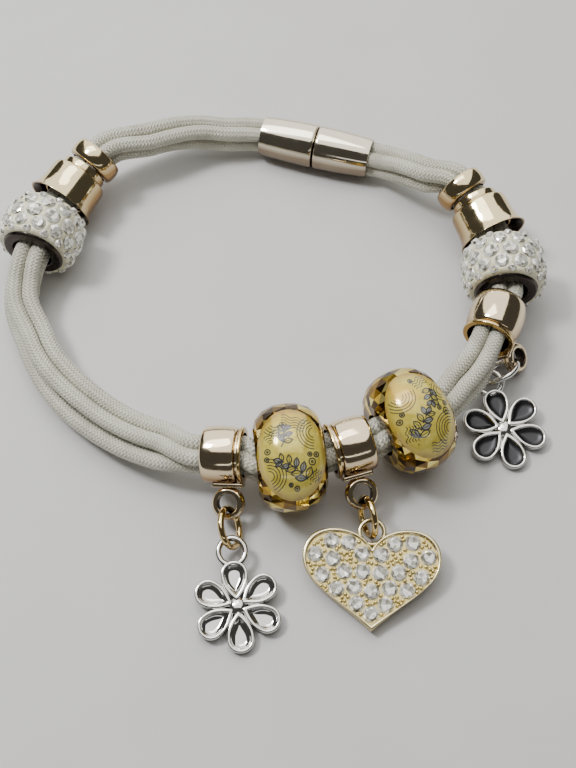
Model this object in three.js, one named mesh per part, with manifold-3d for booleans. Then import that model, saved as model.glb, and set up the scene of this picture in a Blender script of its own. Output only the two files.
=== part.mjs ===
// Cord charm bracelet, fastened and lying on a surface at z = 0. Millimetres, +Z up, +Y from the
// front beads to the clasp. Four waxed cords run from one half of the clasp, round the left and the
// front, to the other half. Beads and bails are threaded on them, and charms hang on jump rings.
import * as THREE from 'three';
import { mergeVertices } from 'three/addons/utils/BufferGeometryUtils.js';
import Module from 'manifold-3d';

const wasm = await Module();
wasm.setup();

// Cords
const strandDiameter = 2.0;
const strandGap = 0.12; // between neighbouring cords inside a bead
const strandSides = 8;
const strandSteps = 48;
const boreClearance = 0.38; // between the bundle of cords and a bead's bore
const floorClearance = 0.02; // between the lowest point of a resting piece and the surface

// Barrel clasp
const claspDiameter = 6.6;
const claspHalfLength = 8.4;
const claspSeam = 0.3;
const claspMouthWall = 0.3;
const claspGrip = 5.0; // how far the cords go into each half
const claspBoreClearance = 0.16;
const claspStrandGap = 0.04;

// Stopper rings
const stopperDiameter = 7.1;
const stopperLength = 2.7;
const stopperEdgeWall = 0.3; // beyond the bore at its two ends
const stopperFullness = 0.8;

// Flared bead caps
const flaredRimDiameter = 9.9;
const flaredShoulderDiameter = 8.5;
const flaredHubDiameter = 6.6;
const flaredHubLength = 1.1;
const flaredBodyLength = 5.2;
const flaredWall = 0.5;
const flaredTubeWall = 0.45;
const flaredTubeLength = 4.2;

// Pave beads
const paveDiameter = 11.1; // of the clay body, without the stones
const paveLength = 6.6;
const paveCoreFlangeDiameter = 8.8;
const paveCoreFlangeThickness = 0.45;
const paveStoneDiameter = 1.85;
const paveSideStoneDiameter = 1.45;
const paveStonesPerRow = 10;
const paveStoneProud = 0.35;
const paveStoneRoot = 0.4; // how deep a stone goes into the clay
const paveSideRowShare = 0.58; // of the way from the middle row to the end
const paveSideRowLean = 11; // degrees
const paveCrownFullness = 0.7;
const paveCoreChamfer = 0.3;

// Glass beads
const glassDiameter = 13.8;
const glassLength = 8.6;
const glassEndDiameter = 8.4;
const glassSides = 16;
const glassRows = [-1, -0.86, -0.5, 0, 0.5, 0.86, 1]; // where the facets meet, as shares of half the length
const glassCrownPower = 2.4;
const glassCrownFullness = 0.62;
const glassWindowWidth = 10.4; // across the bead, round its edge
const glassWindowProud = 0.12;
const glassWindowShare = 0.47; // half the window's length, as a share of the bead's length
const glassWindowRoot = 0.4; // how far it reaches in below the bead's ends
const glassWindowAim = 29; // degrees from straight up, forwards

// Bail beads and their rings
const bailDiameter = 7.4;
const bailLength = 4.4;
const bailFlangeDiameter = 7.2;
const bailFlangeThickness = 0.45;
const bailGroove = 0.3;
const ballDiameter = 7.2;
const ballLength = 5.6;
const ballFlangeDiameter = 7.0;
const saddleLength = 3.9;
const saddleWidth = 2.4;
const saddleThickness = 0.6;
const bailRingDiameter = 4.2;
const bailRingHole = 2.8;
const bailRingThickness = 1.0;
const bailRingChamfer = 0.3;
const bailEdgeWall = 0.35; // beyond the bore at a barrel's two ends
const bailFullness = 0.5;
const ballFullness = 0.75;
const saddleSink = 0.25; // how far the saddle is sunk into its bead

// Jump rings
const jumpWire = 0.72;
const jumpDiameter = 5.6;
const linkClearance = 0.35; // between two rings that hang in each other

// Charms
const charmRingWire = 0.8;
const charmRingDiameter = 4.2;
const flowerRadius = 5.65;
const flowerThickness = 1.1;
const flowerRim = 0.42;
const flowerDish = 0.45;
const petalWidth = 3.1;
const petalRoot = 0.55; // from the flower's middle
const flowerRingSink = 0.1; // how far the ring is sunk into the petal's tip
const bossTopRadius = 0.75;
const bossFootRadius = 1.25;
const bossProud = 0.25;
const heartWidth = 17.2;
const heartHeight = 12.5;
const heartThickness = 1.7;
const heartRim = 0.5;
const heartDish = 0.4;
const heartRingWire = 0.6;
const heartRingDiameter = 3.7;
const heartStoneDiameter = 1.66;
const heartStonePitch = 2.02;
const heartStoneProud = 0.35;
const heartStoneRoot = 0.15;
const heartStoneLowest = 1.9; // the lowest row, above the heart's tip
const heartRingRise = 0.35; // of the ring's lower edge above the cleft

const strandPitch = strandDiameter + strandGap;
const bundleRadius = strandPitch / Math.SQRT2 + strandDiameter / 2;
const boreRadius = bundleRadius + boreClearance;
const claspPitch = strandDiameter + claspStrandGap;
const claspBoreRadius = claspPitch / Math.SQRT2 + strandDiameter / 2 + claspBoreClearance;
const flaredLength = flaredHubLength + flaredBodyLength;
const paveOuterRadius = paveDiameter / 2 + paveStoneProud;

// Where each of the four cords lies in the bundle, in cord pitches: towards the outside, and up.
const lays = {
  square: [[-0.5, 0.5], [0.5, 0.5], [0.5, -0.5], [-0.5, -0.5]],
  spread: [[-0.52, 0.5], [0.52, 0.46], [0.86, -0.52], [-0.4, -0.56]],
  opened: [[-0.56, 0.36], [0.46, 0.42], [1.36, -0.3], [0.2, -0.66]],
};

const radians = THREE.MathUtils.degToRad;

// The clasp lies across the back: its middle, and the heading from its right mouth to its left one.
const claspPlace = { x: 4.3, y: 39.4, z: claspDiameter / 2, heading: 164 };
const claspRun = claspGrip - 2 * boreClearance; // the cords' straight run inside a half
const claspStop = { z: claspPlace.z, heading: claspPlace.heading, half: claspRun / 2, lay: 'square' };

function claspMouth(side) {
  const reach = side * (claspHalfLength - claspRun / 2 - boreClearance);
  const heading = radians(claspPlace.heading);
  return { x: claspPlace.x + reach * Math.cos(heading), y: claspPlace.y + reach * Math.sin(heading) };
}

// The route of the bundle, from the left half of the clasp to the right half: the middle of each bead or
// free point, the height of its axis, the heading and climb in degrees, half of its straight run, how the
// cords lie there, and by how much that lay is rolled.
const route = [
  { at: 'clasp_left', ...claspMouth(1), ...claspStop },
  { at: 'back_left_1', x: -11.2, y: 41.2, z: 4.3, heading: 180, climb: 10, half: 0.5, lay: 'spread', roll: -6 },
  { at: 'back_left_2', x: -20.0, y: 38.5, z: 6.2, heading: 207, climb: 8, half: 0.5, lay: 'spread', roll: 10 },
  { at: 'stopper_left', x: -28.4, y: 33.95, z: 6.5, heading: 229, climb: -16, lay: 'square' },
  { at: 'flared_bead_left', x: -31.5, y: 29.9, z: 5.39, heading: 238, climb: -10, lay: 'square' },
  { at: 'pave_bead_left', x: -34.9, y: 21.25, z: paveOuterRadius, heading: 254, lay: 'square' },
  { at: 'left_1', x: -36.8, y: 12.6, z: 4.5, heading: 270, climb: -8, half: 0.5, lay: 'spread' },
  { at: 'left_2', x: -33.9, y: 4.4, z: 3.7, heading: 294, climb: -2, half: 0.5, lay: 'spread', roll: 8 },
  { at: 'left_3', x: -26.2, y: -4.8, z: 3.5, heading: 320, climb: 2, half: 0.5, lay: 'opened' },
  { at: 'left_4', x: -17.0, y: -10.5, z: 4.5, heading: 338, climb: 9, half: 0.5, lay: 'opened', roll: 4 },
  { at: 'bail_bead_left', x: -8.4, y: -13.7, z: 6.3, heading: 355, climb: 7, lay: 'square' },
  { at: 'glass_bead_left', x: 0.2, y: -14.4, z: glassDiameter / 2, heading: 7, lay: 'square' },
  { at: 'bail_bead_right', x: 8.2, y: -12.75, z: 7.0, heading: 17, lay: 'square' },
  { at: 'glass_bead_right', x: 15.5, y: -9.2, z: glassDiameter / 2, heading: 29, lay: 'square' },
  { at: 'right_1', x: 22.6, y: -3.1, z: 6.7, heading: 48, half: 0.5, lay: 'spread', roll: -4 },
  { at: 'ball_bail_bead', x: 28.1, y: 6.5, z: 6.5, heading: 66, climb: -2, lay: 'square' },
  { at: 'pave_bead_right', x: 30.0, y: 14.7, z: paveOuterRadius, heading: 90, lay: 'square' },
  { at: 'flared_bead_right', x: 28.1, y: 24.2, z: 5.4, heading: 114, climb: 11, lay: 'square' },
  { at: 'stopper_right', x: 25.1, y: 28.6, z: 6.5, heading: 128, climb: 15, lay: 'square' },
  { at: 'back_right_1', x: 19.6, y: 31.6, z: 6.4, heading: 147, climb: -9, half: 0.5, lay: 'spread', roll: -8 },
  { at: 'clasp_right', ...claspMouth(-1), ...claspStop },
];

// How far the straight run reaches to each side of a bead's middle.
const halfRuns = {
  stopper_left: stopperLength / 2,
  stopper_right: stopperLength / 2,
  flared_bead_left: flaredLength / 2,
  flared_bead_right: flaredLength / 2,
  pave_bead_left: paveLength / 2 + paveCoreFlangeThickness,
  pave_bead_right: paveLength / 2 + paveCoreFlangeThickness,
  glass_bead_left: glassLength / 2,
  glass_bead_right: glassLength / 2,
  bail_bead_left: bailLength / 2 + bailGroove + bailFlangeThickness,
  bail_bead_right: bailLength / 2 + bailGroove + bailFlangeThickness,
  ball_bail_bead: ballLength / 2 + bailGroove + bailFlangeThickness,
};

// The axes of a place on the route: along it, towards the outside of the loop, and up.
function axesAt(stop) {
  const heading = radians(stop.heading);
  const climb = radians(stop.climb ?? 0);
  const along = new THREE.Vector3(Math.cos(heading) * Math.cos(climb), Math.sin(heading) * Math.cos(climb),
    Math.sin(climb));
  const outside = new THREE.Vector3(Math.sin(heading), -Math.cos(heading), 0);
  const up = new THREE.Vector3().crossVectors(outside, along);
  const middle = new THREE.Vector3(stop.x, stop.y, stop.z + floorClearance);
  return { along, outside, up, middle };
}

function stopNamed(name) {
  return route.find((stop) => stop.at === name);
}

// A closed mesh turned so that its faces point outwards.
function facingOut(geometry) {
  const bare = new THREE.BufferGeometry();
  bare.setAttribute('position', geometry.getAttribute('position'));
  if (geometry.index) bare.setIndex(geometry.index);
  const merged = mergeVertices(bare, 1e-4);
  const points = merged.getAttribute('position');
  const index = merged.index.array;
  const [a, b, c] = [new THREE.Vector3(), new THREE.Vector3(), new THREE.Vector3()];
  let volume = 0;
  const kept = [];
  for (let i = 0; i < index.length; i += 3) {
    if (index[i] === index[i + 1] || index[i + 1] === index[i + 2] || index[i] === index[i + 2]) continue;
    kept.push(index[i], index[i + 1], index[i + 2]);
    a.fromBufferAttribute(points, index[i]);
    b.fromBufferAttribute(points, index[i + 1]);
    c.fromBufferAttribute(points, index[i + 2]);
    volume += a.dot(b.cross(c));
  }
  if (volume < 0) kept.reverse();
  merged.setIndex(kept);
  return merged;
}

function toSolid(geometry) {
  const closed = facingOut(geometry);
  const mesh = new wasm.Mesh({
    numProp: 3,
    vertProperties: new Float32Array(closed.getAttribute('position').array),
    triVerts: new Uint32Array(closed.index.array),
  });
  return new wasm.Manifold(mesh);
}

function toGeometry(solid) {
  const mesh = solid.getMesh();
  const geometry = new THREE.BufferGeometry();
  geometry.setAttribute('position', new THREE.BufferAttribute(new Float32Array(mesh.vertProperties), 3));
  geometry.setIndex(Array.from(mesh.triVerts));
  return geometry;
}

// A profile of (distance along, radius) pairs turned about the X axis.
function turned(profile, sides) {
  const points = profile.map(([along, radius]) => new THREE.Vector2(radius, along));
  return new THREE.LatheGeometry(points, sides).rotateZ(-Math.PI / 2);
}

function ringOf(outerDiameter, wire, sides, segments) {
  return new THREE.TorusGeometry((outerDiameter - wire) / 2, wire / 2, sides, segments);
}

const finishes = {
  cord: { color: 0xcfcabb, roughness: 0.62, metalness: 0 },
  gold: { color: 0xe3c9a6, roughness: 0.12, metalness: 1 },
  silver: { color: 0xd9d9db, roughness: 0.12, metalness: 1 },
  clay: { color: 0xe8e4d2, roughness: 0.35, metalness: 0 },
  glass: { color: 0xc79a36, roughness: 0.05, metalness: 0 },
  heartGold: { color: 0xe6cf94, roughness: 0.18, metalness: 1 },
};

const bracelet = new THREE.Group();

function add(name, geometry, finish, stop) {
  const mesh = new THREE.Mesh(facingOut(geometry), new THREE.MeshStandardMaterial(finishes[finish]));
  mesh.name = name;
  if (stop) {
    const { along, outside, up, middle } = axesAt(stop);
    const inside = outside.clone().negate();
    mesh.quaternion.setFromRotationMatrix(new THREE.Matrix4().makeBasis(along, inside, up));
    mesh.position.copy(middle);
  }
  bracelet.add(mesh);
  return mesh;
}

// Cords: straight through each bead, and one smooth bend from each bead or free point to the next.
function strandPath(strand) {
  const ends = route.flatMap((stop) => {
    const { along, outside, up, middle } = axesAt(stop);
    const roll = radians(stop.roll ?? 0);
    const pitch = stop.at.startsWith('clasp') ? claspPitch : strandPitch;
    const [side, rise] = lays[stop.lay][strand].map((share) => share * pitch);
    const centre = middle.clone()
      .addScaledVector(outside, side * Math.cos(roll) - rise * Math.sin(roll))
      .addScaledVector(up, side * Math.sin(roll) + rise * Math.cos(roll));
    const half = stop.half ?? halfRuns[stop.at];
    return [-half, half].map((reach) => ({ point: centre.clone().addScaledVector(along, reach), along }));
  });
  const path = new THREE.CurvePath();
  for (let i = 0; i + 1 < ends.length; i += 1) {
    const [from, to] = [ends[i], ends[i + 1]];
    const handle = from.point.distanceTo(to.point) / 3;
    path.add(new THREE.CubicBezierCurve3(
      from.point,
      from.point.clone().addScaledVector(from.along, handle),
      to.point.clone().addScaledVector(to.along, -handle),
      to.point,
    ));
  }
  return path;
}

const strandSection = new THREE.Shape(Array.from({ length: strandSides }, (_, i) => {
  const turn = (2 * Math.PI * (i + 0.5)) / strandSides;
  return new THREE.Vector2(Math.cos(turn), Math.sin(turn)).multiplyScalar(strandDiameter / 2);
}));

for (let strand = 0; strand < 4; strand += 1) {
  const tube = new THREE.ExtrudeGeometry(strandSection, {
    steps: strandSteps,
    bevelEnabled: false,
    extrudePath: strandPath(strand),
  });
  add(`strand_${strand + 1}`, tube, 'cord');
}

// Clasp: two halves that taper from the seam to the mouth where the cords go in.
function claspHalf() {
  const mouthRadius = claspBoreRadius + claspMouthWall;
  const seamChamfer = 0.25;
  const tapers = [0.35, 0.62, 0.82, 0.97];
  const outer = tapers.map((share) => [
    share * claspHalfLength,
    mouthRadius + (claspDiameter / 2 - mouthRadius) * (1 - share ** 2.2),
  ]);
  return turned([
    [claspSeam / 2, 0],
    [claspSeam / 2, claspDiameter / 2 - seamChamfer],
    [claspSeam / 2 + seamChamfer, claspDiameter / 2],
    ...outer,
    [claspHalfLength, mouthRadius - claspMouthWall / 4],
    [claspHalfLength, claspBoreRadius],
    [claspHalfLength - claspGrip, claspBoreRadius],
    [claspHalfLength - claspGrip, 0],
  ], 20);
}

add('clasp_half_left', claspHalf(), 'silver', claspPlace);
add('clasp_half_right', claspHalf(), 'silver', { ...claspPlace, heading: claspPlace.heading + 180 });

// Stopper rings: a rounded band.
function stopperRing() {
  const edgeRadius = boreRadius + stopperEdgeWall;
  const band = Array.from({ length: 7 }, (_, i) => {
    const turn = (Math.PI * i) / 6;
    return [
      (stopperLength / 2) * Math.cos(turn),
      edgeRadius + (stopperDiameter / 2 - edgeRadius) * Math.sin(turn) ** stopperFullness,
    ];
  });
  const start = [stopperLength / 2, boreRadius];
  return turned([start, ...band, [-stopperLength / 2, boreRadius], start], 16);
}

for (const side of ['left', 'right']) {
  const stop = stopNamed(`stopper_${side}`);
  add(`stopper_${side}`, stopperRing(), 'gold', stop);
}

// Flared bead caps: a hub, a shouldered bell that opens to a trumpet rim, and a tube inside for the cords.
function flaredBead() {
  const hubRadius = flaredHubDiameter / 2;
  const shoulderRadius = flaredShoulderDiameter / 2;
  const rimRadius = flaredRimDiameter / 2;
  const tubeRadius = boreRadius + flaredTubeWall;
  const flare = rimRadius - shoulderRadius;
  const hubEnd = flaredHubLength - flaredLength / 2;
  const rimEnd = flaredLength / 2;
  const tubeEnd = hubEnd + flaredTubeLength;
  // Shares of the body's length and of the flare beyond the shoulder.
  const bell = [[0.14, -0.08], [0.5, 0.02], [0.74, 0.22], [0.92, 0.68]];
  const outer = bell.map(([run, rise]) => [hubEnd + run * flaredBodyLength, shoulderRadius + rise * flare]);
  const inner = bell.slice(1, 3).reverse().map(([run, rise]) => [
    hubEnd + run * flaredBodyLength, shoulderRadius + rise * flare - flaredWall]);
  const start = [-flaredLength / 2, boreRadius];
  return turned([
    start,
    [-flaredLength / 2, hubRadius],
    [hubEnd, hubRadius],
    [hubEnd + 0.1, shoulderRadius - 0.45],
    ...outer,
    [rimEnd, rimRadius],
    [rimEnd, rimRadius - flaredWall / 2],
    ...inner,
    [hubEnd + 0.9, shoulderRadius - flaredWall - 0.05],
    [hubEnd + 0.9, tubeRadius],
    [tubeEnd, tubeRadius],
    [tubeEnd, boreRadius],
    start,
  ], 15);
}

add('flared_bead_left', flaredBead(), 'gold', stopNamed('flared_bead_left'));
const flaredRight = stopNamed('flared_bead_right');
add('flared_bead_right', flaredBead(), 'gold',
  { ...flaredRight, heading: flaredRight.heading + 180, climb: -flaredRight.climb });

// A stone with a table and eight facets round it, standing on the XY plane and sunk by its root.
function cutStone(diameter, proud, root, turn) {
  const [girdle, table] = [diameter / 2, diameter * 0.3];
  const spread = girdle + ((girdle - table) * root) / proud;
  const stone = turned([[-root, 0], [-root, spread], [proud, table], [proud, 0]], 8);
  return toSolid(stone.rotateY(-Math.PI / 2).rotateZ(turn));
}

// Pave beads: a clay ring on a metal core with flanged ends, set with three staggered rows of stones.
function paveBead() {
  const bodyRadius = paveDiameter / 2;
  const flangeRadius = paveCoreFlangeDiameter / 2;
  const half = paveLength / 2;
  const end = half + paveCoreFlangeThickness;
  const crownRise = bodyRadius - flangeRadius;
  const crownRadius = (turn) => flangeRadius + crownRise * Math.sin(turn) ** paveCrownFullness;
  const crown = Array.from({ length: 6 }, (_, i) => {
    const turn = (Math.PI * i) / 5;
    return [half * Math.cos(turn), crownRadius(turn)];
  });
  const start = [end, boreRadius];
  const pieces = [toSolid(turned([
    start,
    [end, flangeRadius - paveCoreChamfer],
    [half + 0.1, flangeRadius],
    ...crown.slice(1, -1),
    [-half - 0.1, flangeRadius],
    [-end, flangeRadius - paveCoreChamfer],
    [-end, boreRadius],
    start,
  ], 2 * paveStonesPerRow))];
  const sideRow = paveSideRowShare * half;
  const rows = [
    { along: 0, lean: 0, diameter: paveStoneDiameter, offset: 0 },
    { along: sideRow, lean: paveSideRowLean, diameter: paveSideStoneDiameter, offset: 0.5 },
    { along: -sideRow, lean: -paveSideRowLean, diameter: paveSideStoneDiameter, offset: 0.5 },
  ];
  for (const row of rows) {
    const turn = Math.acos(row.along / half);
    const seat = crownRadius(turn);
    const stone = cutStone(row.diameter, paveStoneProud, paveStoneRoot, Math.PI / 8);
    for (let i = 0; i < paveStonesPerRow; i += 1) {
      const round = (360 * (i + row.offset)) / paveStonesPerRow;
      pieces.push(stone.rotate([0, row.lean, 0]).translate([row.along, 0, seat]).rotate([round, 0, 0]));
    }
  }
  return toGeometry(wasm.Manifold.union(pieces));
}

for (const side of ['left', 'right']) {
  add(`pave_bead_${side}`, paveBead(), 'clay', stopNamed(`pave_bead_${side}`));
}

// Glass beads: rows of staggered triangular facets, with a smooth oval window let into one side.
function glassRadius(share, scale) {
  const edge = glassEndDiameter / 2;
  const crown = (1 - Math.abs(share) ** glassCrownPower) ** glassCrownFullness;
  return edge + (glassDiameter / 2 * scale - edge) * crown;
}

function facetedRing(rows, sides, scale) {
  const points = [];
  rows.forEach((share, row) => {
    for (let i = 0; i < sides; i += 1) {
      const turn = (2 * Math.PI * (i + (row % 2) / 2)) / sides;
      const radius = glassRadius(share, scale);
      points.push(share * glassLength / 2, radius * Math.cos(turn), radius * Math.sin(turn));
    }
  });
  for (const share of [rows[rows.length - 1], rows[0]]) {
    for (let i = 0; i < sides; i += 1) {
      const turn = (2 * Math.PI * i) / sides;
      points.push(share * glassLength / 2, boreRadius * Math.cos(turn), boreRadius * Math.sin(turn));
    }
  }
  const index = [];
  const rings = rows.length + 2;
  for (let row = 0; row < rings; row += 1) {
    const shift = row < rows.length && row % 2 === 1 ? 1 : 0;
    for (let i = 0; i < sides; i += 1) {
      const next = (i + 1) % sides;
      const [a, b] = [row * sides + i, row * sides + next];
      const above = ((row + 1) % rings) * sides;
      if (shift) index.push(a, b, above + next, a, above + next, above + i);
      else index.push(a, b, above + i, b, above + next, above + i);
    }
  }
  const geometry = new THREE.BufferGeometry();
  geometry.setAttribute('position', new THREE.Float32BufferAttribute(points, 3));
  geometry.setIndex(index);
  return geometry;
}

function glassBead() {
  const cut = toSolid(facetedRing(glassRows, glassSides, 1));
  const shares = Array.from({ length: 9 }, (_, i) => -0.96 + 0.24 * i);
  const proud = 1 + (2 * glassWindowProud) / glassDiameter;
  const smooth = shares.map((share) => [share * glassLength / 2, glassRadius(share, proud)]);
  const floor = glassEndDiameter / 2 - glassWindowRoot;
  const start = [smooth[0][0], floor];
  const dome = toSolid(turned([start, ...smooth, [smooth[8][0], floor], start], 20));
  const oval = new THREE.CylinderGeometry(1, 1, glassDiameter, 16);
  oval.rotateX(Math.PI / 2).scale(glassLength * glassWindowShare, glassWindowWidth / 2, 1);
  oval.translate(0, 0, glassDiameter / 2);
  const window = dome.intersect(toSolid(oval));
  return toGeometry(cut.add(window));
}

for (const side of ['left', 'right']) {
  const bead = glassBead();
  bead.rotateX(radians(glassWindowAim));
  add(`glass_bead_${side}`, bead, 'glass', stopNamed(`glass_bead_${side}`));
}

// Bail beads: a barrel with a groove and a thin flange at one end, and a saddle with a ring soldered on.
const bailReach = bailDiameter / 2 + saddleThickness / 2 + bailRingDiameter / 2;
const ballReach = ballDiameter / 2 + saddleThickness / 2 + bailRingDiameter / 2;

function bailBead(length, diameter, flangeDiameter, fullness) {
  const half = length / 2;
  const edge = boreRadius + bailEdgeWall;
  const barrel = Array.from({ length: 7 }, (_, i) => {
    const turn = (Math.PI * i) / 6;
    return [-half * Math.cos(turn), edge + (diameter / 2 - edge) * Math.sin(turn) ** fullness];
  });
  const start = [-half, boreRadius];
  const flange = half + bailGroove;
  return toSolid(turned([
    start,
    ...barrel,
    [flange, edge],
    [flange, flangeDiameter / 2],
    [flange + bailFlangeThickness, flangeDiameter / 2],
    [flange + bailFlangeThickness, boreRadius],
    start,
  ], 16));
}

// The saddle and ring lie towards -Z of the bead, with the ring's hole across the bead's axis.
function saddleAndRing(beadDiameter, reach) {
  const plate = new THREE.BoxGeometry(saddleLength, saddleWidth, saddleThickness);
  plate.translate(0, 0, -beadDiameter / 2 - saddleThickness / 2 + saddleSink);
  const [outer, hole, half] = [bailRingDiameter / 2, bailRingHole / 2, bailRingThickness / 2];
  const start = [-half, hole];
  const grooved = turned([
    start,
    [-half, outer - bailRingChamfer],
    [-half * 0.5, outer],
    [half * 0.5, outer],
    [half, outer - bailRingChamfer],
    [half, hole],
    start,
  ], 14).rotateZ(Math.PI / 2).translate(0, 0, -reach);
  return toSolid(plate).add(toSolid(grooved));
}

// How each charm hangs: which bead, which way its ring leans from straight down towards the outside,
// how far the ring sits along the bead, where the chain of rings heads, its drop, how slack it hangs,
// how far the jump ring twists, and the charm's heading.
const charms = [
  { side: 'left', bead: 'bail_bead_left', lean: 61, shift: 1.0, chain: 275, drop: 10, slack: 0,
    twist: 15, lie: 277 },
  { side: 'middle', bead: 'bail_bead_right', lean: 61, shift: -0.5, chain: 284, drop: 11, slack: 1.0,
    twist: -8, lie: 268 },
  { side: 'right', bead: 'ball_bail_bead', lean: 44, shift: -2, chain: 225, drop: -2, slack: 0.6,
    twist: 0, lie: 284 },
];

function charmFor(bead) {
  return charms.find((charm) => charm.bead === bead);
}

function addBailBead(name, barrel, diameter, reach, flangeAhead) {
  const charm = charmFor(name);
  const eyelet = saddleAndRing(diameter, reach).rotate([-charm.lean, 0, 0]).translate([charm.shift, 0, 0]);
  const body = flangeAhead ? barrel : barrel.rotate([0, 0, 180]);
  add(name, toGeometry(body.add(eyelet)), 'gold', stopNamed(name));
}

addBailBead('bail_bead_left', bailBead(bailLength, bailDiameter, bailFlangeDiameter, bailFullness),
  bailDiameter, bailReach, true);
addBailBead('bail_bead_right', bailBead(bailLength, bailDiameter, bailFlangeDiameter, bailFullness),
  bailDiameter, bailReach, false);
addBailBead('ball_bail_bead', bailBead(ballLength, ballDiameter, ballFlangeDiameter, ballFullness),
  ballDiameter, ballReach, false);

// Where the bail ring's middle is, and the directions along the chain and across the jump ring.
function hangOf(charm) {
  const { along, outside, up, middle } = axesAt(stopNamed(charm.bead));
  const lean = radians(charm.lean);
  const reach = charm.bead === 'ball_bail_bead' ? ballReach : bailReach;
  const down = up.clone().multiplyScalar(-Math.cos(lean)).addScaledVector(outside, Math.sin(lean));
  const ring = middle.clone().addScaledVector(down, reach).addScaledVector(along, charm.shift);
  const [heading, drop] = [radians(charm.chain), radians(charm.drop)];
  const chain = new THREE.Vector3(Math.cos(heading) * Math.cos(drop), Math.sin(heading) * Math.cos(drop),
    -Math.sin(drop));
  const hole = new THREE.Vector3().crossVectors(along, down);
  return { ring, chain, hole };
}

const jumpInner = jumpDiameter / 2 - jumpWire;

function addJumpRing(charm, charmRing, charmWire) {
  const { ring, chain, hole } = hangOf(charm);
  const bailWall = (bailRingDiameter - bailRingHole) / 2;
  const bailMean = (bailRingDiameter - bailWall) / 2;
  const charmMean = (charmRing - charmWire) / 2;
  const first = bailMean + jumpInner - linkClearance - bailWall / 2;
  const second = charmMean + jumpInner - linkClearance - charmWire / 2 - charm.slack;
  const across = hole.clone().addScaledVector(chain, -hole.dot(chain)).normalize();
  across.applyAxisAngle(chain, radians(charm.twist));
  const normal = new THREE.Vector3().crossVectors(chain, across);
  const mesh = add(`jump_ring_${charm.side}`, ringOf(jumpDiameter, jumpWire, 6, 15),
    charm.side === 'right' ? 'silver' : 'heartGold');
  mesh.quaternion.setFromRotationMatrix(new THREE.Matrix4().makeBasis(chain, across, normal));
  mesh.position.copy(ring).addScaledVector(chain, first);
  return ring.clone().addScaledVector(chain, first + second);
}

// A charm lies from its ring down to the surface: local -Y runs from the ring to its far tip.
function layCharm(mesh, charm, ringMiddle, ringToTip, tipRise) {
  const fall = Math.asin((ringMiddle.z - tipRise - floorClearance) / ringToTip);
  const lie = radians(charm.lie);
  const reach = Math.cos(fall);
  const away = new THREE.Vector3(-Math.cos(lie) * reach, -Math.sin(lie) * reach, Math.sin(fall));
  const across = new THREE.Vector3(-Math.sin(lie), Math.cos(lie), 0);
  const normal = new THREE.Vector3().crossVectors(across, away);
  mesh.quaternion.setFromRotationMatrix(new THREE.Matrix4().makeBasis(across, away, normal));
  mesh.position.copy(ringMiddle);
}

function extruded(shape, depth, curveSegments) {
  return new THREE.ExtrudeGeometry(shape, { depth, bevelEnabled: false, curveSegments });
}

// Flower charm: six dished petals with a raised rim, a boss in the middle and a ring at one tip.
function petalShape(inset) {
  const [tip, half] = [flowerRadius - inset, petalWidth / 2 - inset];
  const root = petalRoot + inset * 1.6;
  const shape = new THREE.Shape();
  shape.moveTo(0, root);
  shape.bezierCurveTo(half * 0.55, root + 0.9, half, tip - half * 1.9, half, tip - half);
  shape.bezierCurveTo(half, tip - half * 0.42, half * 0.55, tip, 0, tip);
  shape.bezierCurveTo(-half * 0.55, tip, -half, tip - half * 0.42, -half, tip - half);
  shape.bezierCurveTo(-half, tip - half * 1.9, -half * 0.55, root + 0.9, 0, root);
  return shape;
}

const flowerRingReach = flowerRadius + charmRingDiameter / 2 - charmRingWire - flowerRingSink;

function flowerCharm() {
  const boss = new THREE.CylinderGeometry(bossTopRadius, bossFootRadius, flowerThickness + bossProud, 8);
  let flower = toSolid(boss.rotateX(Math.PI / 2).translate(0, 0, (flowerThickness + bossProud) / 2));
  const petal = toSolid(extruded(petalShape(0), flowerThickness, 3));
  const dishShape = extruded(petalShape(flowerRim), flowerThickness, 3);
  const dish = toSolid(dishShape.translate(0, 0, flowerThickness - flowerDish));
  for (let i = 0; i < 6; i += 1) flower = flower.add(petal.rotate([0, 0, 60 * i]));
  for (let i = 0; i < 6; i += 1) flower = flower.subtract(dish.rotate([0, 0, 60 * i]));
  const ring = ringOf(charmRingDiameter, charmRingWire, 6, 14);
  ring.translate(0, flowerRingReach, flowerThickness / 2);
  flower = flower.add(toSolid(ring));
  return toGeometry(flower.translate([0, -flowerRingReach, -flowerThickness / 2]));
}

for (const charm of charms.filter((each) => each.side !== 'middle')) {
  const ringMiddle = addJumpRing(charm, charmRingDiameter, charmRingWire);
  const mesh = add(`flower_charm_${charm.side}`, flowerCharm(), 'silver');
  layCharm(mesh, charm, ringMiddle, flowerRingReach + flowerRadius, flowerThickness / 2);
}

// Heart charm: a plate with a raised rim, its floor set with stones.
function heartShape(inset) {
  const [half, tall] = [heartWidth / 2 - inset, heartHeight - inset];
  const foot = inset * 1.45;
  const cleft = 0.8 * heartHeight - inset * 1.3;
  const shape = new THREE.Shape();
  shape.moveTo(0, foot);
  shape.bezierCurveTo(0.47 * half, 0.3 * tall, half, 0.45 * tall, half, 0.72 * tall);
  shape.bezierCurveTo(half, 0.89 * tall, 0.83 * half, tall, 0.55 * half, tall);
  shape.bezierCurveTo(0.31 * half, tall, 0.1 * half, 0.93 * tall, 0, cleft);
  shape.bezierCurveTo(-0.1 * half, 0.93 * tall, -0.31 * half, tall, -0.55 * half, tall);
  shape.bezierCurveTo(-0.83 * half, tall, -half, 0.89 * tall, -half, 0.72 * tall);
  shape.bezierCurveTo(-half, 0.45 * tall, -0.47 * half, 0.3 * tall, 0, foot);
  return shape;
}

function isInside(outline, x, y) {
  let inside = false;
  for (let i = 0, j = outline.length - 1; i < outline.length; j = i, i += 1) {
    const [a, b] = [outline[i], outline[j]];
    if ((a.y > y) !== (b.y > y) && x < ((b.x - a.x) * (y - a.y)) / (b.y - a.y) + a.x) inside = !inside;
  }
  return inside;
}

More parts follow.
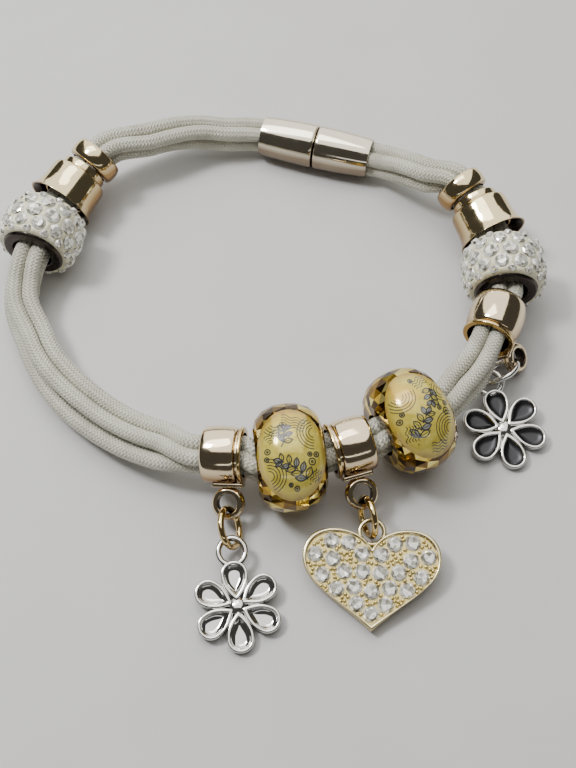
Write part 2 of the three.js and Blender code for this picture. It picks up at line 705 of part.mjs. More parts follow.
// Rows of stones in a hexagonal net, kept where a whole stone fits inside the rim.
function netInside(inset) {
  const outline = heartShape(inset).getPoints(12);
  const rise = heartStonePitch * Math.sin(Math.PI / 3);
  const found = [];
  for (let row = 0; row < 9; row += 1) {
    for (let column = -5; column <= 5; column += 1) {
      const x = (column + (row % 2) / 2) * heartStonePitch;
      const y = heartStoneLowest + row * rise;
      if (isInside(outline, x, y)) found.push([x, y]);
    }
  }
  return found;
}

const heartRingReach = 0.8 * heartHeight + heartRingDiameter / 2 + heartRingRise;

function heartCharm() {
  const floor = heartThickness - heartDish;
  let heart = toSolid(extruded(heartShape(0), heartThickness, 7));
  const dishShape = extruded(heartShape(heartRim), heartThickness, 7);
  heart = heart.subtract(toSolid(dishShape.translate(0, 0, floor)));
  const stone = cutStone(heartStoneDiameter, heartStoneProud, heartStoneRoot, 0);
  for (const [x, y] of netInside(heartRim + heartStoneDiameter / 2 - 0.1)) {
    heart = heart.add(stone.translate([x, y, floor]));
  }
  const ring = ringOf(heartRingDiameter, heartRingWire, 6, 14);
  ring.translate(0, heartRingReach, heartThickness / 2);
  heart = heart.add(toSolid(ring));
  return toGeometry(heart.translate([0, -heartRingReach, -heartThickness / 2]));
}

const heartHang = charms.find((charm) => charm.side === 'middle');
const heartRingMiddle = addJumpRing(heartHang, heartRingDiameter, heartRingWire);
layCharm(add('heart_charm', heartCharm(), 'heartGold'), heartHang, heartRingMiddle, heartRingReach,
  heartThickness / 2);

// The origin lies under the middle of the whole piece.
const extent = new THREE.Box3().setFromObject(bracelet, true);
const origin = extent.getCenter(new THREE.Vector3()).setZ(extent.min.z);
for (const mesh of bracelet.children) mesh.position.sub(origin);

export default bracelet;
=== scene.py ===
import random
from math import acos, cos, pi, radians, sin, sqrt

import bmesh
import bpy
from mathutils import Matrix, Vector


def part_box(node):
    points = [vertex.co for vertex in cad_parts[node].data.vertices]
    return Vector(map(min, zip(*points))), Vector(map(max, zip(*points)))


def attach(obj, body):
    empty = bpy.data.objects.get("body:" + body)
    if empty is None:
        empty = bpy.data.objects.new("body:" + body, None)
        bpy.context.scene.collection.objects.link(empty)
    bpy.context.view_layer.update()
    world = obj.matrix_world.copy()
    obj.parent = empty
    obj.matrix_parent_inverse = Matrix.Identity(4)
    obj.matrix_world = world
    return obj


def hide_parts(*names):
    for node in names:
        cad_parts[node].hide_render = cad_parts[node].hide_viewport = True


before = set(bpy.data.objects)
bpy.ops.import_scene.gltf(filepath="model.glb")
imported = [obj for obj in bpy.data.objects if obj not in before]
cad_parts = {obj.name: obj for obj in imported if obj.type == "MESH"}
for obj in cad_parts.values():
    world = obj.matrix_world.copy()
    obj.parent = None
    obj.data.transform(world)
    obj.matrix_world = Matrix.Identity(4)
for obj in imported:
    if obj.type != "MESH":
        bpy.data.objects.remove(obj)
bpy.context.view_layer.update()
mm = 0.001
print("frame loaded")

# Small helpers for node trees


def addNode(tree, kind, inputs=None, **settings):
    node = tree.nodes.new(kind)
    for key, value in settings.items():
        setattr(node, key, value)
    for key, value in (inputs or {}).items():
        if isinstance(value, bpy.types.NodeSocket):
            tree.links.new(value, node.inputs[key])
        else:
            node.inputs[key].default_value = value
    return node


def feed(tree, sockets, **values):
    for key, value in values.items():
        tree.links.new(value, sockets[key.replace("_", " ")])


def calc(tree, operation, first, second=0.0, third=0.0):
    return addNode(tree, "ShaderNodeMath", {0: first, 1: second, 2: third}, operation=operation).outputs[0]


def mixTones(tree, share, first, second):
    return addNode(tree, "ShaderNodeMix", {0: share, 6: first, 7: second}, data_type="RGBA").outputs[2]


def spread(tree, value, low, high, toLow=0.0, toHigh=1.0):
    return addNode(tree, "ShaderNodeMapRange", {0: value, 1: low, 2: high, 3: toLow, 4: toHigh}).outputs[0]


def speckle(tree, scale, detail=3.0):
    place = addNode(tree, "ShaderNodeTexCoord").outputs["Object"]
    return addNode(tree, "ShaderNodeTexNoise", {"Vector": place, "Scale": scale, "Detail": detail}).outputs[0]


def swing(tree, noise, amount, value):
    return calc(tree, "MULTIPLY_ADD", calc(tree, "SUBTRACT", noise, 0.5), amount, value)


def attributeOf(tree, name, output="Fac"):
    return addNode(tree, "ShaderNodeAttribute", attribute_name=name).outputs[output]


def toneRamp(tree, value, stops):
    ramp = addNode(tree, "ShaderNodeValToRGB", {"Fac": value})
    while len(ramp.color_ramp.elements) < len(stops):
        ramp.color_ramp.elements.new(0.5)
    for element, (place, tone) in zip(ramp.color_ramp.elements, stops):
        element.position = place
        element.color = (*tone, 1)
    return ramp.outputs["Color"]


def startMaterial(name, metallic=0.0, **sockets):
    material = bpy.data.materials.new(name)
    material.use_nodes = True
    tree = material.node_tree
    shader = tree.nodes["Principled BSDF"]
    shader.inputs["Metallic"].default_value = metallic
    for key, value in sockets.items():
        shader.inputs[key.replace("_", " ")].default_value = value
    return material, tree, shader.inputs


def bumpInto(tree, sockets, height, strength, depth):
    bump = addNode(tree, "ShaderNodeBump", {"Height": height, "Strength": strength, "Distance": depth * mm})
    feed(tree, sockets, Normal=bump.outputs[0])


def newGroup(name, ins, outs):
    tree = bpy.data.node_groups.new(name, "ShaderNodeTree")
    for label, kind, value in ins:
        socket = tree.interface.new_socket(label, in_out="INPUT", socket_type=f"NodeSocket{kind}")
        socket.default_value = value
    for label, kind in outs:
        tree.interface.new_socket(label, in_out="OUTPUT", socket_type=f"NodeSocket{kind}")
    return tree, tree.nodes.new("NodeGroupInput").outputs, tree.nodes.new("NodeGroupOutput").inputs


def useGroup(tree, group, **values):
    node = tree.nodes.new("ShaderNodeGroup")
    node.node_tree = group
    for key, value in values.items():
        node.inputs[key].default_value = value
    return node.outputs


# Polished plating with painted shade: the tone is painted darker where the surface faces down or sideways, in
# soft patches, standing in for shade and dark reflections; with faint rub marks and a fine grain.
def platingGroup():
    tree, given, out = newGroup("platedWearAndShade", [
        ("Tone", "Color", (0.8, 0.8, 0.8, 1)), ("DeepTone", "Color", (0.3, 0.2, 0.1, 1)),
        ("Polish", "Float", 0.1), ("Grain", "Float", 900.0),
    ], [("Color", "Color"), ("Roughness", "Float"), ("Height", "Float")])
    facing = addNode(tree, "ShaderNodeNewGeometry").outputs["Normal"]
    lift = addNode(tree, "ShaderNodeSeparateXYZ", {0: facing}).outputs[2]
    marks = speckle(tree, given["Grain"], detail=4.0)
    cloud = speckle(tree, 160.0, detail=2.0)
    # Painted shade: the share of the dark tone rises where the normal faces down or sideways, with soft
    # random patches
    shadeShare = swing(tree, cloud, 0.35, spread(tree, lift, 0.58, 0.08))
    rub = spread(tree, marks, 0.35, 0.75, 0.0, 0.09)
    feed(tree, out, Color=mixTones(tree, shadeShare, given["Tone"], given["DeepTone"]),
         Roughness=calc(tree, "ADD", given["Polish"], rub), Height=marks)
    return tree


platedWearAndShade = platingGroup()


def platedMetal(name, tone, paintedShadeTone, polish=0.07):
    material, tree, shader = startMaterial(name, metallic=1.0)
    wearAndShade = useGroup(tree, platedWearAndShade, Tone=(*tone, 1), DeepTone=(*paintedShadeTone, 1), Polish=polish)
    feed(tree, shader, Base_Color=wearAndShade["Color"], Roughness=wearAndShade["Roughness"])
    bumpInto(tree, shader, wearAndShade["Height"], 0.05, 0.04)
    return material


# Each metal's second tone is its painted shade, laid on surfaces that face down or sideways
roseGold = platedMetal("roseGold", (0.96, 0.80, 0.54), (0.27, 0.155, 0.07))
champagneGold = platedMetal("champagneGold", (0.96, 0.80, 0.47), (0.31, 0.18, 0.07))
yellowGold = platedMetal("yellowGold", (0.90, 0.70, 0.34), (0.34, 0.21, 0.07))
claspSilver = platedMetal("claspSilver", (0.95, 0.87, 0.69), (0.25, 0.195, 0.14))
charmSilver = platedMetal("charmSilver", (0.95, 0.94, 0.90), (0.36, 0.35, 0.34))
heartGold = platedMetal("heartGold", (0.96, 0.85, 0.50), (0.48, 0.35, 0.12), polish=0.2)
# The pave beads' dark core, and painted shade inside the bores, the flared bells, the clasp's mouths and the
# bail rings' holes
darkPlatingAndShade = platedMetal("darkPlatingAndShade", (0.10, 0.085, 0.075), (0.04, 0.03, 0.025), polish=0.25)
# The heart's floor and grains between the stones: rougher, and painted darker than the rim, painted shade
# between the stones
shadedHeartFloorGold = platedMetal("shadedHeartFloorGold", (0.86, 0.72, 0.32), (0.42, 0.30, 0.09), polish=0.3)
# The right flower's petal floors are painted near black: a painted reflection of dark surroundings
darkReflectionPetal = platedMetal("darkReflectionPetal", (0.075, 0.075, 0.08), (0.02, 0.02, 0.02), polish=0.38)
greyPetal = platedMetal("greyPetal", (0.80, 0.80, 0.78), (0.10, 0.10, 0.11), polish=0.06)

# The braid follows the cord: its section attribute says where round the cord, alongCord how far along.
# groove sets how strongly the braid's grooves are painted darker: painted shade between the strands
braidLook = {"strandsRound": 10, "pitch": 5.0, "relief": 0.11, "groove": 0.68}


def braidGroup():
    tree, given, out = newGroup("braidWeave", [("StrandsRound", "Float", 8.0), ("Pitch", "Float", 0.002)],
                                [("Height", "Float"), ("Groove", "Float")])
    side = addNode(tree, "ShaderNodeSeparateXYZ", {0: attributeOf(tree, "section", "Vector")}).outputs
    turn = calc(tree, "DIVIDE", calc(tree, "ARCTAN2", side[1], side[0]), 2 * pi)
    climb = calc(tree, "DIVIDE", attributeOf(tree, "alongCord"), given["Pitch"])
    crests, counts = [], []
    for way in (1.0, -1.0):
        phase = calc(tree, "MULTIPLY", given["StrandsRound"], calc(tree, "MULTIPLY_ADD", climb, way, turn))
        crests.append(calc(tree, "ABSOLUTE", calc(tree, "SINE", calc(tree, "MULTIPLY", phase, pi))))
        counts.append(calc(tree, "FLOOR", phase))
    over = calc(tree, "PINGPONG", calc(tree, "ADD", *counts), 1.0)
    under = calc(tree, "MULTIPLY", crests[1], calc(tree, "SUBTRACT", 1.0, over))
    height = calc(tree, "MULTIPLY_ADD", crests[0], over, under)
    feed(tree, out, Height=height, Groove=spread(tree, height, 0.45, 0.0))
    return tree


def waxedCordMaterial():
    material, tree, shader = startMaterial("waxedCord", Specular_IOR_Level=0.6, Sheen_Weight=0.15,
                                           Sheen_Roughness=0.5)
    weave = useGroup(tree, braidGroup(), StrandsRound=braidLook["strandsRound"],
                     Pitch=braidLook["pitch"] * mm)
    cloud = speckle(tree, 240.0, detail=4.0)
    fibre = speckle(tree, 5200.0, detail=2.0)
    body = toneRamp(tree, cloud, [(0.3, (0.53, 0.515, 0.415)), (0.62, (0.68, 0.67, 0.555))])
    # Painted shade: the grooves between the braid's strands are mixed towards a dark tone
    shade = calc(tree, "MULTIPLY", weave["Groove"], braidLook["groove"])
    feed(tree, shader, Base_Color=mixTones(tree, shade, body, (0.22, 0.20, 0.155, 1)),
         Roughness=spread(tree, cloud, 0.3, 0.7, 0.3, 0.5))
    bumpInto(tree, shader, calc(tree, "MULTIPLY_ADD", fibre, 0.35, weave["Height"]), 1.0, braidLook["relief"])
    return material


def clayMaterial():
    material, tree, shader = startMaterial("creamClay", Coat_Weight=0.5, Coat_Roughness=0.12)
    cloud = speckle(tree, 700.0, detail=5.0)
    tone = toneRamp(tree, cloud, [(0.3, (0.68, 0.64, 0.44)), (0.7, (0.88, 0.85, 0.64))])
    feed(tree, shader, Base_Color=tone, Roughness=spread(tree, cloud, 0.3, 0.7, 0.3, 0.5))
    bumpInto(tree, shader, cloud, 0.5, 0.18)
    return material


# Painted glints: each facet's random share picks a tone from dark to bright, standing in for the light a cut
# stone or faceted glass reflects and bends
def facetMaterial(name, stops, metallic, roughness):
    material, tree, shader = startMaterial(name, metallic=metallic, Roughness=roughness)
    mixed = swing(tree, speckle(tree, 1300.0, detail=2.0), 0.25, attributeOf(tree, "facetGlint"))
    feed(tree, shader, Base_Color=toneRamp(tree, mixed, stops))
    return material


def windowMaterial():
    material, tree, shader = startMaterial("printedWindow", metallic=0.2, Roughness=0.16, Coat_Weight=0.5,
                                           Coat_Roughness=0.03)
    wash = speckle(tree, 210.0, detail=1.0)
    cloud = speckle(tree, 900.0)
    ground = toneRamp(tree, cloud, [(0.3, (0.58, 0.46, 0.055)), (0.7, (0.80, 0.69, 0.15))])
    peach = spread(tree, wash, 0.60, 0.74, 0.0, 0.6)
    washed = mixTones(tree, peach, ground, (0.80, 0.46, 0.045, 1))
    ragged = swing(tree, cloud, 0.35, attributeOf(tree, "windowEdge"))
    rimShade = spread(tree, ragged, 0.82, 1.02, 0.0, 0.85)
    feed(tree, shader, Base_Color=mixTones(tree, rimShade, washed, (0.30, 0.17, 0.03, 1)))
    return material


def inkMaterial(name, tone):
    material, tree, shader = startMaterial(name, Roughness=0.2, Coat_Weight=1.0, Coat_Roughness=0.03)
    deep = tuple(0.7 * part for part in tone)
    mixed = speckle(tree, 2400.0, detail=2.0)
    feed(tree, shader, Base_Color=toneRamp(tree, mixed, [(0.35, deep), (0.65, tone)]))
    return material


waxedCord = waxedCordMaterial()
creamClay = clayMaterial()
# The clear stones' dark to white facets are painted reflections; the amber facets keep the glass's own amber
# hue, with painted dark and bright refractions
clearStone = facetMaterial("clearStone", [
    (0.0, (0.13, 0.12, 0.095)), (0.26, (0.48, 0.47, 0.40)), (0.55, (0.90, 0.89, 0.82)), (1.0, (1, 1, 0.97)),
], 0.4, 0.04)
amberFacets = facetMaterial("amberFacets", [
    (0.0, (0.02, 0.009, 0.002)), (0.3, (0.10, 0.05, 0.008)), (0.55, (0.36, 0.20, 0.015)),
    (0.8, (0.74, 0.52, 0.06)), (1.0, (0.95, 0.80, 0.26)),
], 0.85, 0.06)
printedWindow = windowMaterial()
greyInk = inkMaterial("greyInk", (0.06, 0.06, 0.055))
greyWash = inkMaterial("greyWash", (0.30, 0.30, 0.27))
print("materials made")

# Sizes are in millimetres and follow the solids; plump, crown and fatter make a piece fuller than its solid.
# Those that the route needs are here, the others beside their own pieces.
cordLook = {"diameter": 2.0, "gap": 0.12, "plump": 0.14, "claspGap": 0.04, "sides": 28, "step": 0.3,
            "boreClearance": 0.38}
claspLook = {"diameter": 6.6, "halfLength": 8.4, "seam": 0.16, "mouthWall": 0.3, "grip": 5.0,
             "boreClearance": 0.16, "place": (4.3, 39.4, 3.3), "heading": 164, "taper": 2.2, "sides": 72}
stopperLook = {"diameter": 7.4, "length": 2.7, "edge": 0.08, "fullness": 0.62, "sides": 64}
flaredLook = {"rim": 9.9, "shoulder": 8.5, "hub": 6.6, "hubLength": 1.1, "bodyLength": 5.2, "wall": 0.5,
              "tubeWall": 0.45, "tubeLength": 4.2, "floor": 0.9, "softness": 0.14, "sides": 80}
paveLook = {"diameter": 11.1, "length": 6.6, "flange": 8.8, "flangeThickness": 0.45, "fullness": 0.7,
            "stone": 2.3, "sideStone": 2.0, "edgeStone": 1.2, "perRow": 13, "proud": 0.35, "ridge": 0.16,
            "slope": 0.25, "softness": 0.12, "sides": 80, "claySides": 200, "seed": 11}
glassLook = {"diameter": 13.8, "length": 8.6, "end": 8.4, "flatness": 2.4, "fullness": 0.62, "sides": 26,
             "window": 11.2, "windowReach": 0.485, "proud": 0.12, "aim": 21, "seed": 21}
bailLook = {"diameter": 7.4, "length": 4.4, "flange": 7.2, "flangeThickness": 0.45, "groove": 0.3,
            "fullness": 0.42, "crown": 0, "sides": 72}
ballLook = {"diameter": 7.2, "length": 5.6, "flange": 7.0, "flangeThickness": 0.45, "groove": 0.3,
            "fullness": 0.9, "crown": 0.3, "sides": 72}

strandPitch = cordLook["diameter"] + cordLook["gap"]
boreRadius = strandPitch / sqrt(2) + cordLook["diameter"] / 2 + cordLook["boreClearance"]
claspPitch = cordLook["diameter"] + cordLook["claspGap"]
claspBore = claspPitch / sqrt(2) + cordLook["diameter"] / 2 + claspLook["boreClearance"]
paveOuter = paveLook["diameter"] / 2 + paveLook["proud"]
flaredHalf = (flaredLook["hubLength"] + flaredLook["bodyLength"]) / 2
paveHalf = paveLook["length"] / 2 + paveLook["flangeThickness"]
glassHalf = glassLook["length"] / 2
glassRise = glassLook["diameter"] / 2

# Where each of the four cords lies in the bundle, in cord pitches: towards the outside, and up
lays = {
    "square": ((-0.5, 0.5), (0.5, 0.5), (0.5, -0.5), (-0.5, -0.5)),
    "spread": ((-0.52, 0.5), (0.52, 0.46), (0.86, -0.52), (-0.4, -0.56)),
    "opened": ((-0.56, 0.36), (0.46, 0.42), (1.36, -0.3), (0.2, -0.66)),
}

# The solids stand centred on the origin; the clasp, which is symmetric, shows by how much they were moved.
claspCorners = [corner for side in ("left", "right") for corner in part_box(f"clasp_half_{side}")]
claspLow = Vector(min(corner[i] for corner in claspCorners) for i in range(3))
claspHigh = Vector(max(corner[i] for corner in claspCorners) for i in range(3))
loopShift = (claspLow + claspHigh) / 2 - Vector(claspLook["place"]) * mm


def linked(name, data):
    made = bpy.data.objects.new(name, data)
    bpy.context.scene.collection.objects.link(made)
    return made


# Camera at the photo's angle
cameraLook = {"place": (0, -73.25, 132.15), "tilt": 29, "lens": 51.56}
camera = linked("camera", bpy.data.cameras.new("camera"))
camera.location = Vector(cameraLook["place"]) * mm + loopShift
camera.rotation_euler = (radians(cameraLook["tilt"]), 0, 0)
camera.data.lens = cameraLook["lens"]
camera.data.sensor_width = 36
camera.data.clip_start = 0.01
bpy.context.scene.camera = camera


def claspMouth(side):
    run = claspLook["grip"] - 2 * cordLook["boreClearance"]
    reach = side * (claspLook["halfLength"] - run / 2 - cordLook["boreClearance"])
    heading = radians(claspLook["heading"])
    x, y, z = claspLook["place"]
    return (x + reach * cos(heading), y + reach * sin(heading), z), run / 2


def bailHalf(look):
    return look["length"] / 2 + look["groove"] + look["flangeThickness"]


def stop(at, place, heading, climb=0, half=0.5, lay="square", roll=0):
    return dict(at=at, place=place, heading=heading, climb=climb, half=half, lay=lay, roll=roll)


# The cords' way from one half of the clasp to the other, stop by stop
leftMouth, mouthHalf = claspMouth(1)
rightMouth, _ = claspMouth(-1)
route = [
    stop("clasp_left", leftMouth, claspLook["heading"], half=mouthHalf),
    stop("back_left_1", (-11.2, 41.2, 4.3), 180, 10, lay="spread", roll=-6),
    stop("back_left_2", (-20.0, 38.5, 6.2), 207, 8, lay="spread", roll=10),
    stop("stopper_left", (-28.4, 33.95, 6.5), 229, -16, half=stopperLook["length"] / 2),
    stop("flared_bead_left", (-31.5, 29.9, 5.39), 238, -10, half=flaredHalf),
    stop("pave_bead_left", (-34.9, 21.25, paveOuter), 254, half=paveHalf),
    stop("left_1", (-36.8, 12.6, 4.5), 270, -8, lay="spread"),
    stop("left_2", (-33.9, 4.4, 3.7), 294, -2, lay="spread", roll=8),
    stop("left_3", (-26.2, -4.8, 3.5), 320, 2, lay="opened"),
    stop("left_4", (-17.0, -10.5, 4.5), 338, 9, lay="opened", roll=4),
    stop("bail_bead_left", (-8.4, -13.7, 6.3), 355, 7, half=bailHalf(bailLook)),
    stop("glass_bead_left", (0.2, -14.4, glassRise), 7, half=glassHalf),
    stop("bail_bead_right", (8.2, -12.75, 7.0), 17, half=bailHalf(bailLook)),
    stop("glass_bead_right", (15.5, -9.2, glassRise), 29, half=glassHalf),
    stop("right_1", (22.6, -3.1, 6.7), 48, lay="spread", roll=-4),
    stop("ball_bail_bead", (28.1, 6.5, 6.5), 66, -2, half=bailHalf(ballLook)),
    stop("pave_bead_right", (30.0, 14.7, paveOuter), 90, half=paveHalf),
    stop("flared_bead_right", (28.1, 24.2, 5.4), 114, 11, half=flaredHalf),
    stop("stopper_right", (25.1, 28.6, 6.5), 128, 15, half=stopperLook["length"] / 2),
    stop("back_right_1", (19.6, 31.6, 6.4), 147, -9, lay="spread", roll=-8),
    stop("clasp_right", rightMouth, claspLook["heading"], half=mouthHalf),
]


def headed(heading, climb):
    turn, rise = radians(heading), radians(climb)
    return Vector((cos(turn) * cos(rise), sin(turn) * cos(rise), sin(rise)))


def axesAt(place, heading, climb=0):
    along, outside = headed(heading, climb), Vector((sin(radians(heading)), -cos(radians(heading)), 0))
    return along, outside, outside.cross(along), Vector(place) * mm + loopShift


def stopNamed(name):
    return next(each for each in route if each["at"] == name)


def frameOf(xAxis, yAxis, zAxis, middle):
    turned = Matrix((xAxis, yAxis, zAxis)).transposed().to_4x4()
    return Matrix.Translation(middle) @ turned @ Matrix.Diagonal((mm, mm, mm, 1))


def placeAt(place, heading, climb=0):
    along, outside, up, middle = axesAt(place, heading, climb)
    return frameOf(along, -outside, up, middle)


# A bead's place on the cords; 180 turns it end for end
def placeOf(name, turn=0):
    found = stopNamed(name)
    place = placeAt(found["place"], found["heading"], found["climb"])
    return place @ Matrix.Rotation(radians(turn), 4, "Z")


def finishPiece(piece, slotName, *nodes):
    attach(piece, "root")
    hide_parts(*nodes)


def meshFrom(name, bm):
    mesh = bpy.data.meshes.new(name)
    bm.to_mesh(mesh)
    bm.free()
    return mesh


def joinInto(bm, *parts):
    for part in parts:
        mesh = meshFrom("part", part)
        bm.from_mesh(mesh)
        bpy.data.meshes.remove(mesh)


def pieceFrom(name, mesh, materials):
    for material in materials:
        mesh.materials.append(material)
    return linked(name, mesh)


# Edges that bend more than the sharp angle, in degrees, stay crisp
def settle(name, bm, place, materials, slotName, node, sharp=None, smooth=True):
    bmesh.ops.remove_doubles(bm, verts=bm.verts, dist=0.0005)
    bmesh.ops.recalc_face_normals(bm, faces=bm.faces)
    for face in bm.faces:
        face.smooth = smooth
    if sharp:
        for edge in bm.edges:
            if len(edge.link_faces) == 2 and edge.calc_face_angle(0) > radians(sharp):
                edge.smooth = False
    mesh = meshFrom(name, bm)
    mesh.transform(place)
    piece = pieceFrom(name, mesh, materials)
    finishPiece(piece, slotName, node)
    return piece


def startTree(name, inputs):
    tree = bpy.data.node_groups.new(name, "GeometryNodeTree")
    tree.interface.new_socket("Geometry", in_out="INPUT", socket_type="NodeSocketGeometry")
    ids = {label: tree.interface.new_socket(label, in_out="INPUT", socket_type=f"NodeSocket{kind}").identifier
           for label, kind in inputs}
    tree.interface.new_socket("Geometry", in_out="OUTPUT", socket_type="NodeSocketGeometry")
    return tree, ids, tree.nodes.new("NodeGroupInput").outputs


def endTree(tree, shape, material):
    real = addNode(tree, "GeometryNodeRealizeInstances", {"Geometry": shape}).outputs[0]
    dressed = addNode(tree, "GeometryNodeSetMaterial", {"Geometry": real, "Material": material}).outputs[0]
    tree.links.new(dressed, tree.nodes.new("NodeGroupOutput").inputs["Geometry"])


def storeOn(tree, shape, name, value, kind):
    return addNode(tree, "GeometryNodeStoreNamedAttribute", {"Geometry": shape, "Name": name, "Value": value},
                   data_type=kind).outputs[0]


def bakeNodes(source, tree, ids, values, name):
    modifier = source.modifiers.new("nodes", "NODES")
    modifier.node_group = tree
    for label, value in values.items():
        modifier[ids[label]] = value
    bpy.context.view_layer.update()
    graph = bpy.context.evaluated_depsgraph_get()
    mesh = bpy.data.meshes.new_from_object(source.evaluated_get(graph))
    mesh.name = name
    bpy.data.objects.remove(source)
    return linked(name, mesh)


# Cords: each one is a bezier path through the stops, and a node tree puts the round section on it
def cordPath(strand):
    knots = []
    for each in route:
        along, outside, up, middle = axesAt(each["place"], each["heading"], each["climb"])
        pitch = claspPitch if each["at"].startswith("clasp") else strandPitch
        side, rise = (share * pitch * mm for share in lays[each["lay"]][strand])
        roll = radians(each["roll"])
        centre = middle + outside * (side * cos(roll) - rise * sin(roll))
        centre += up * (side * sin(roll) + rise * cos(roll))
        knots += [(centre + along * reach * mm, along) for reach in (-each["half"], each["half"])]
    curve = bpy.data.curves.new(f"cordPath{strand + 1}", "CURVE")
    curve.dimensions = "3D"
    curve.resolution_u = 24
    spline = curve.splines.new("BEZIER")
    spline.bezier_points.add(len(knots) - 1)
    spans = [(b[0] - a[0]).length / 3 for a, b in zip(knots, knots[1:])]
    for i, (point, along) in enumerate(knots):
        knot = spline.bezier_points[i]
        knot.handle_left_type = knot.handle_right_type = "FREE"
        knot.co = point
        knot.handle_left = point - along * spans[max(i - 1, 0)]
        knot.handle_right = point + along * spans[min(i, len(spans) - 1)]
    return curve


def cordTree():
    tree, ids, given = startTree("braidedCord", [("Radius", "Float"), ("Step", "Float"), ("Sides", "Int"),
                                                 ("Cord material", "Material")])
    steps = addNode(tree, "GeometryNodeResampleCurve", {"Curve": given["Geometry"], "Length": given["Step"]},
                    mode="LENGTH").outputs[0]
    run = addNode(tree, "GeometryNodeSplineParameter").outputs["Length"]
    path = storeOn(tree, steps, "alongCord", run, "FLOAT")
    ring = addNode(tree, "GeometryNodeCurvePrimitiveCircle",
                   {"Resolution": given["Sides"], "Radius": given["Radius"]}).outputs[0]
    spot = addNode(tree, "GeometryNodeInputPosition").outputs[0]
    section = storeOn(tree, ring, "section", spot, "FLOAT_VECTOR")
    tube = addNode(tree, "GeometryNodeCurveToMesh",
                   {"Curve": path, "Profile Curve": section, "Fill Caps": True}).outputs[0]
    smooth = addNode(tree, "GeometryNodeSetShadeSmooth", {"Geometry": tube}).outputs[0]
    endTree(tree, smooth, given["Cord material"])
    return tree, ids


braidedCord, cordIds = cordTree()
for strand in range(4):
    cord = bakeNodes(linked("cordSource", cordPath(strand)), braidedCord, cordIds, {
        "Radius": (cordLook["diameter"] + cordLook["plump"]) / 2 * mm, "Step": cordLook["step"] * mm,
        "Sides": cordLook["sides"], "Cord material": waxedCord}, f"cordBraid{strand + 1}")
    finishPiece(cord, "waxed_cord", f"strand_{strand + 1}")
print("cords laid")


# Turned pieces: a profile of (along, radius, material) points swept round the bead's own axis
def softened(profile, radius, closed=True):
    count = len(profile)
    soft = []
    for i, (along, out, finish) in enumerate(profile):
        if not closed and i in (0, count - 1):
            soft.append((along, out, finish))
            continue
        here = Vector((along, out))
        before, after = (Vector(profile[(i + way) % count][:2]) for way in (-1, 1))
        cut = min(radius, 0.45 * (here - before).length, 0.45 * (after - here).length)
        start = here + (before - here).normalized() * cut
        end = here + (after - here).normalized() * cut
        for k in range(4):
            share = k / 3
            point = start.lerp(here, share).lerp(here.lerp(end, share), share)
            soft.append((point.x, point.y, profile[i - 1][2] if k < 2 else finish))
    return soft


def ringOf(bm, along, radius, sides, shift=0.0):
    turns = [2 * pi * (k + shift) / sides for k in range(sides)]
    return [bm.verts.new((along, radius * cos(turn), radius * sin(turn))) for turn in turns]


def bridge(bm, near, far, finish=0):
    for a, b, c, d in zip(near, near[1:] + near[:1], far[1:] + far[:1], far):
        bm.faces.new((a, b, c, d)).material_index = finish


def fan(bm, tip, ring, finish=0):
    for a, b in zip(ring, ring[1:] + ring[:1]):
        bm.faces.new((tip, a, b)).material_index = finish


def sweep(bm, profile, sides, closed=True):
    rings = [ringOf(bm, along, radius, sides) for along, radius, _ in profile]
    for i in range(len(rings) if closed else len(rings) - 1):
        bridge(bm, rings[i], rings[(i + 1) % len(rings)], profile[i][2])


# The same profile points at the other end of a bead
def mirrored(side):
    return [(-along, radius, finish) for along, radius, finish in reversed(side)]


def turnPiece(name, profile, sides, place, materials, slotName, node, sharp, closed=True):
    bm = bmesh.new()
    sweep(bm, profile, sides, closed)
    settle(name, bm, place, materials, slotName, node, sharp)


def claspHalfProfile():
    radius, mouth = claspLook["diameter"] / 2, claspBore + claspLook["mouthWall"]
    seam, length = claspLook["seam"] / 2, claspLook["halfLength"]
    inner = length - claspLook["grip"]
    shares = [0.07 + 0.045 * i for i in range(20)]
    shell = [(share * length, mouth + (radius - mouth) * (1 - share ** claspLook["taper"]), 0)
             for share in shares]
    # The face at the seam and the bore take the dark second material: painted shade in the joint and inside
    # the mouth
    return [(seam, 0, 1), (seam, radius - 0.34, 0), (seam + 0.06, radius - 0.12, 0), (seam + 0.22, radius, 0),
            *shell, (length - 0.06, mouth - 0.02, 0), (length, mouth - 0.1, 0), (length, claspBore + 0.04, 0),
            (length - 0.06, claspBore, 1), (inner, claspBore, 1), (inner, 0, 1)]


for side, turn in (("left", 0), ("right", 180)):
    place = placeAt(claspLook["place"], claspLook["heading"] + turn)
    turnPiece(f"claspHalf_{side}", claspHalfProfile(), claspLook["sides"], place, [claspSilver, darkPlatingAndShade],
              "clasp_silver", f"clasp_half_{side}", sharp=40, closed=False)


# A band that swells between its two edges, from one end to the other
def swelling(half, edge, crown, fullness):
    turns = [pi * i / 24 for i in range(25)]
    return [(half * cos(turn), edge + crown * sin(turn) ** fullness, 0) for turn in turns]


def stopperProfile():
    half, edge = stopperLook["length"] / 2, boreRadius + stopperLook["edge"]
    band = swelling(half, edge, stopperLook["diameter"] / 2 - edge, stopperLook["fullness"])
    # The bore takes the dark third material: painted shade
    return [(half, boreRadius, 1), *band, (-half, boreRadius, 2)]


# The bell's wall, from its shoulder to its rim: share of the length, and share of the flare
bellShape = ((0.14, -0.08), (0.3, -0.02), (0.5, 0.02), (0.62, 0.1), (0.74, 0.22), (0.84, 0.42), (0.92, 0.68),
             (0.97, 0.9))


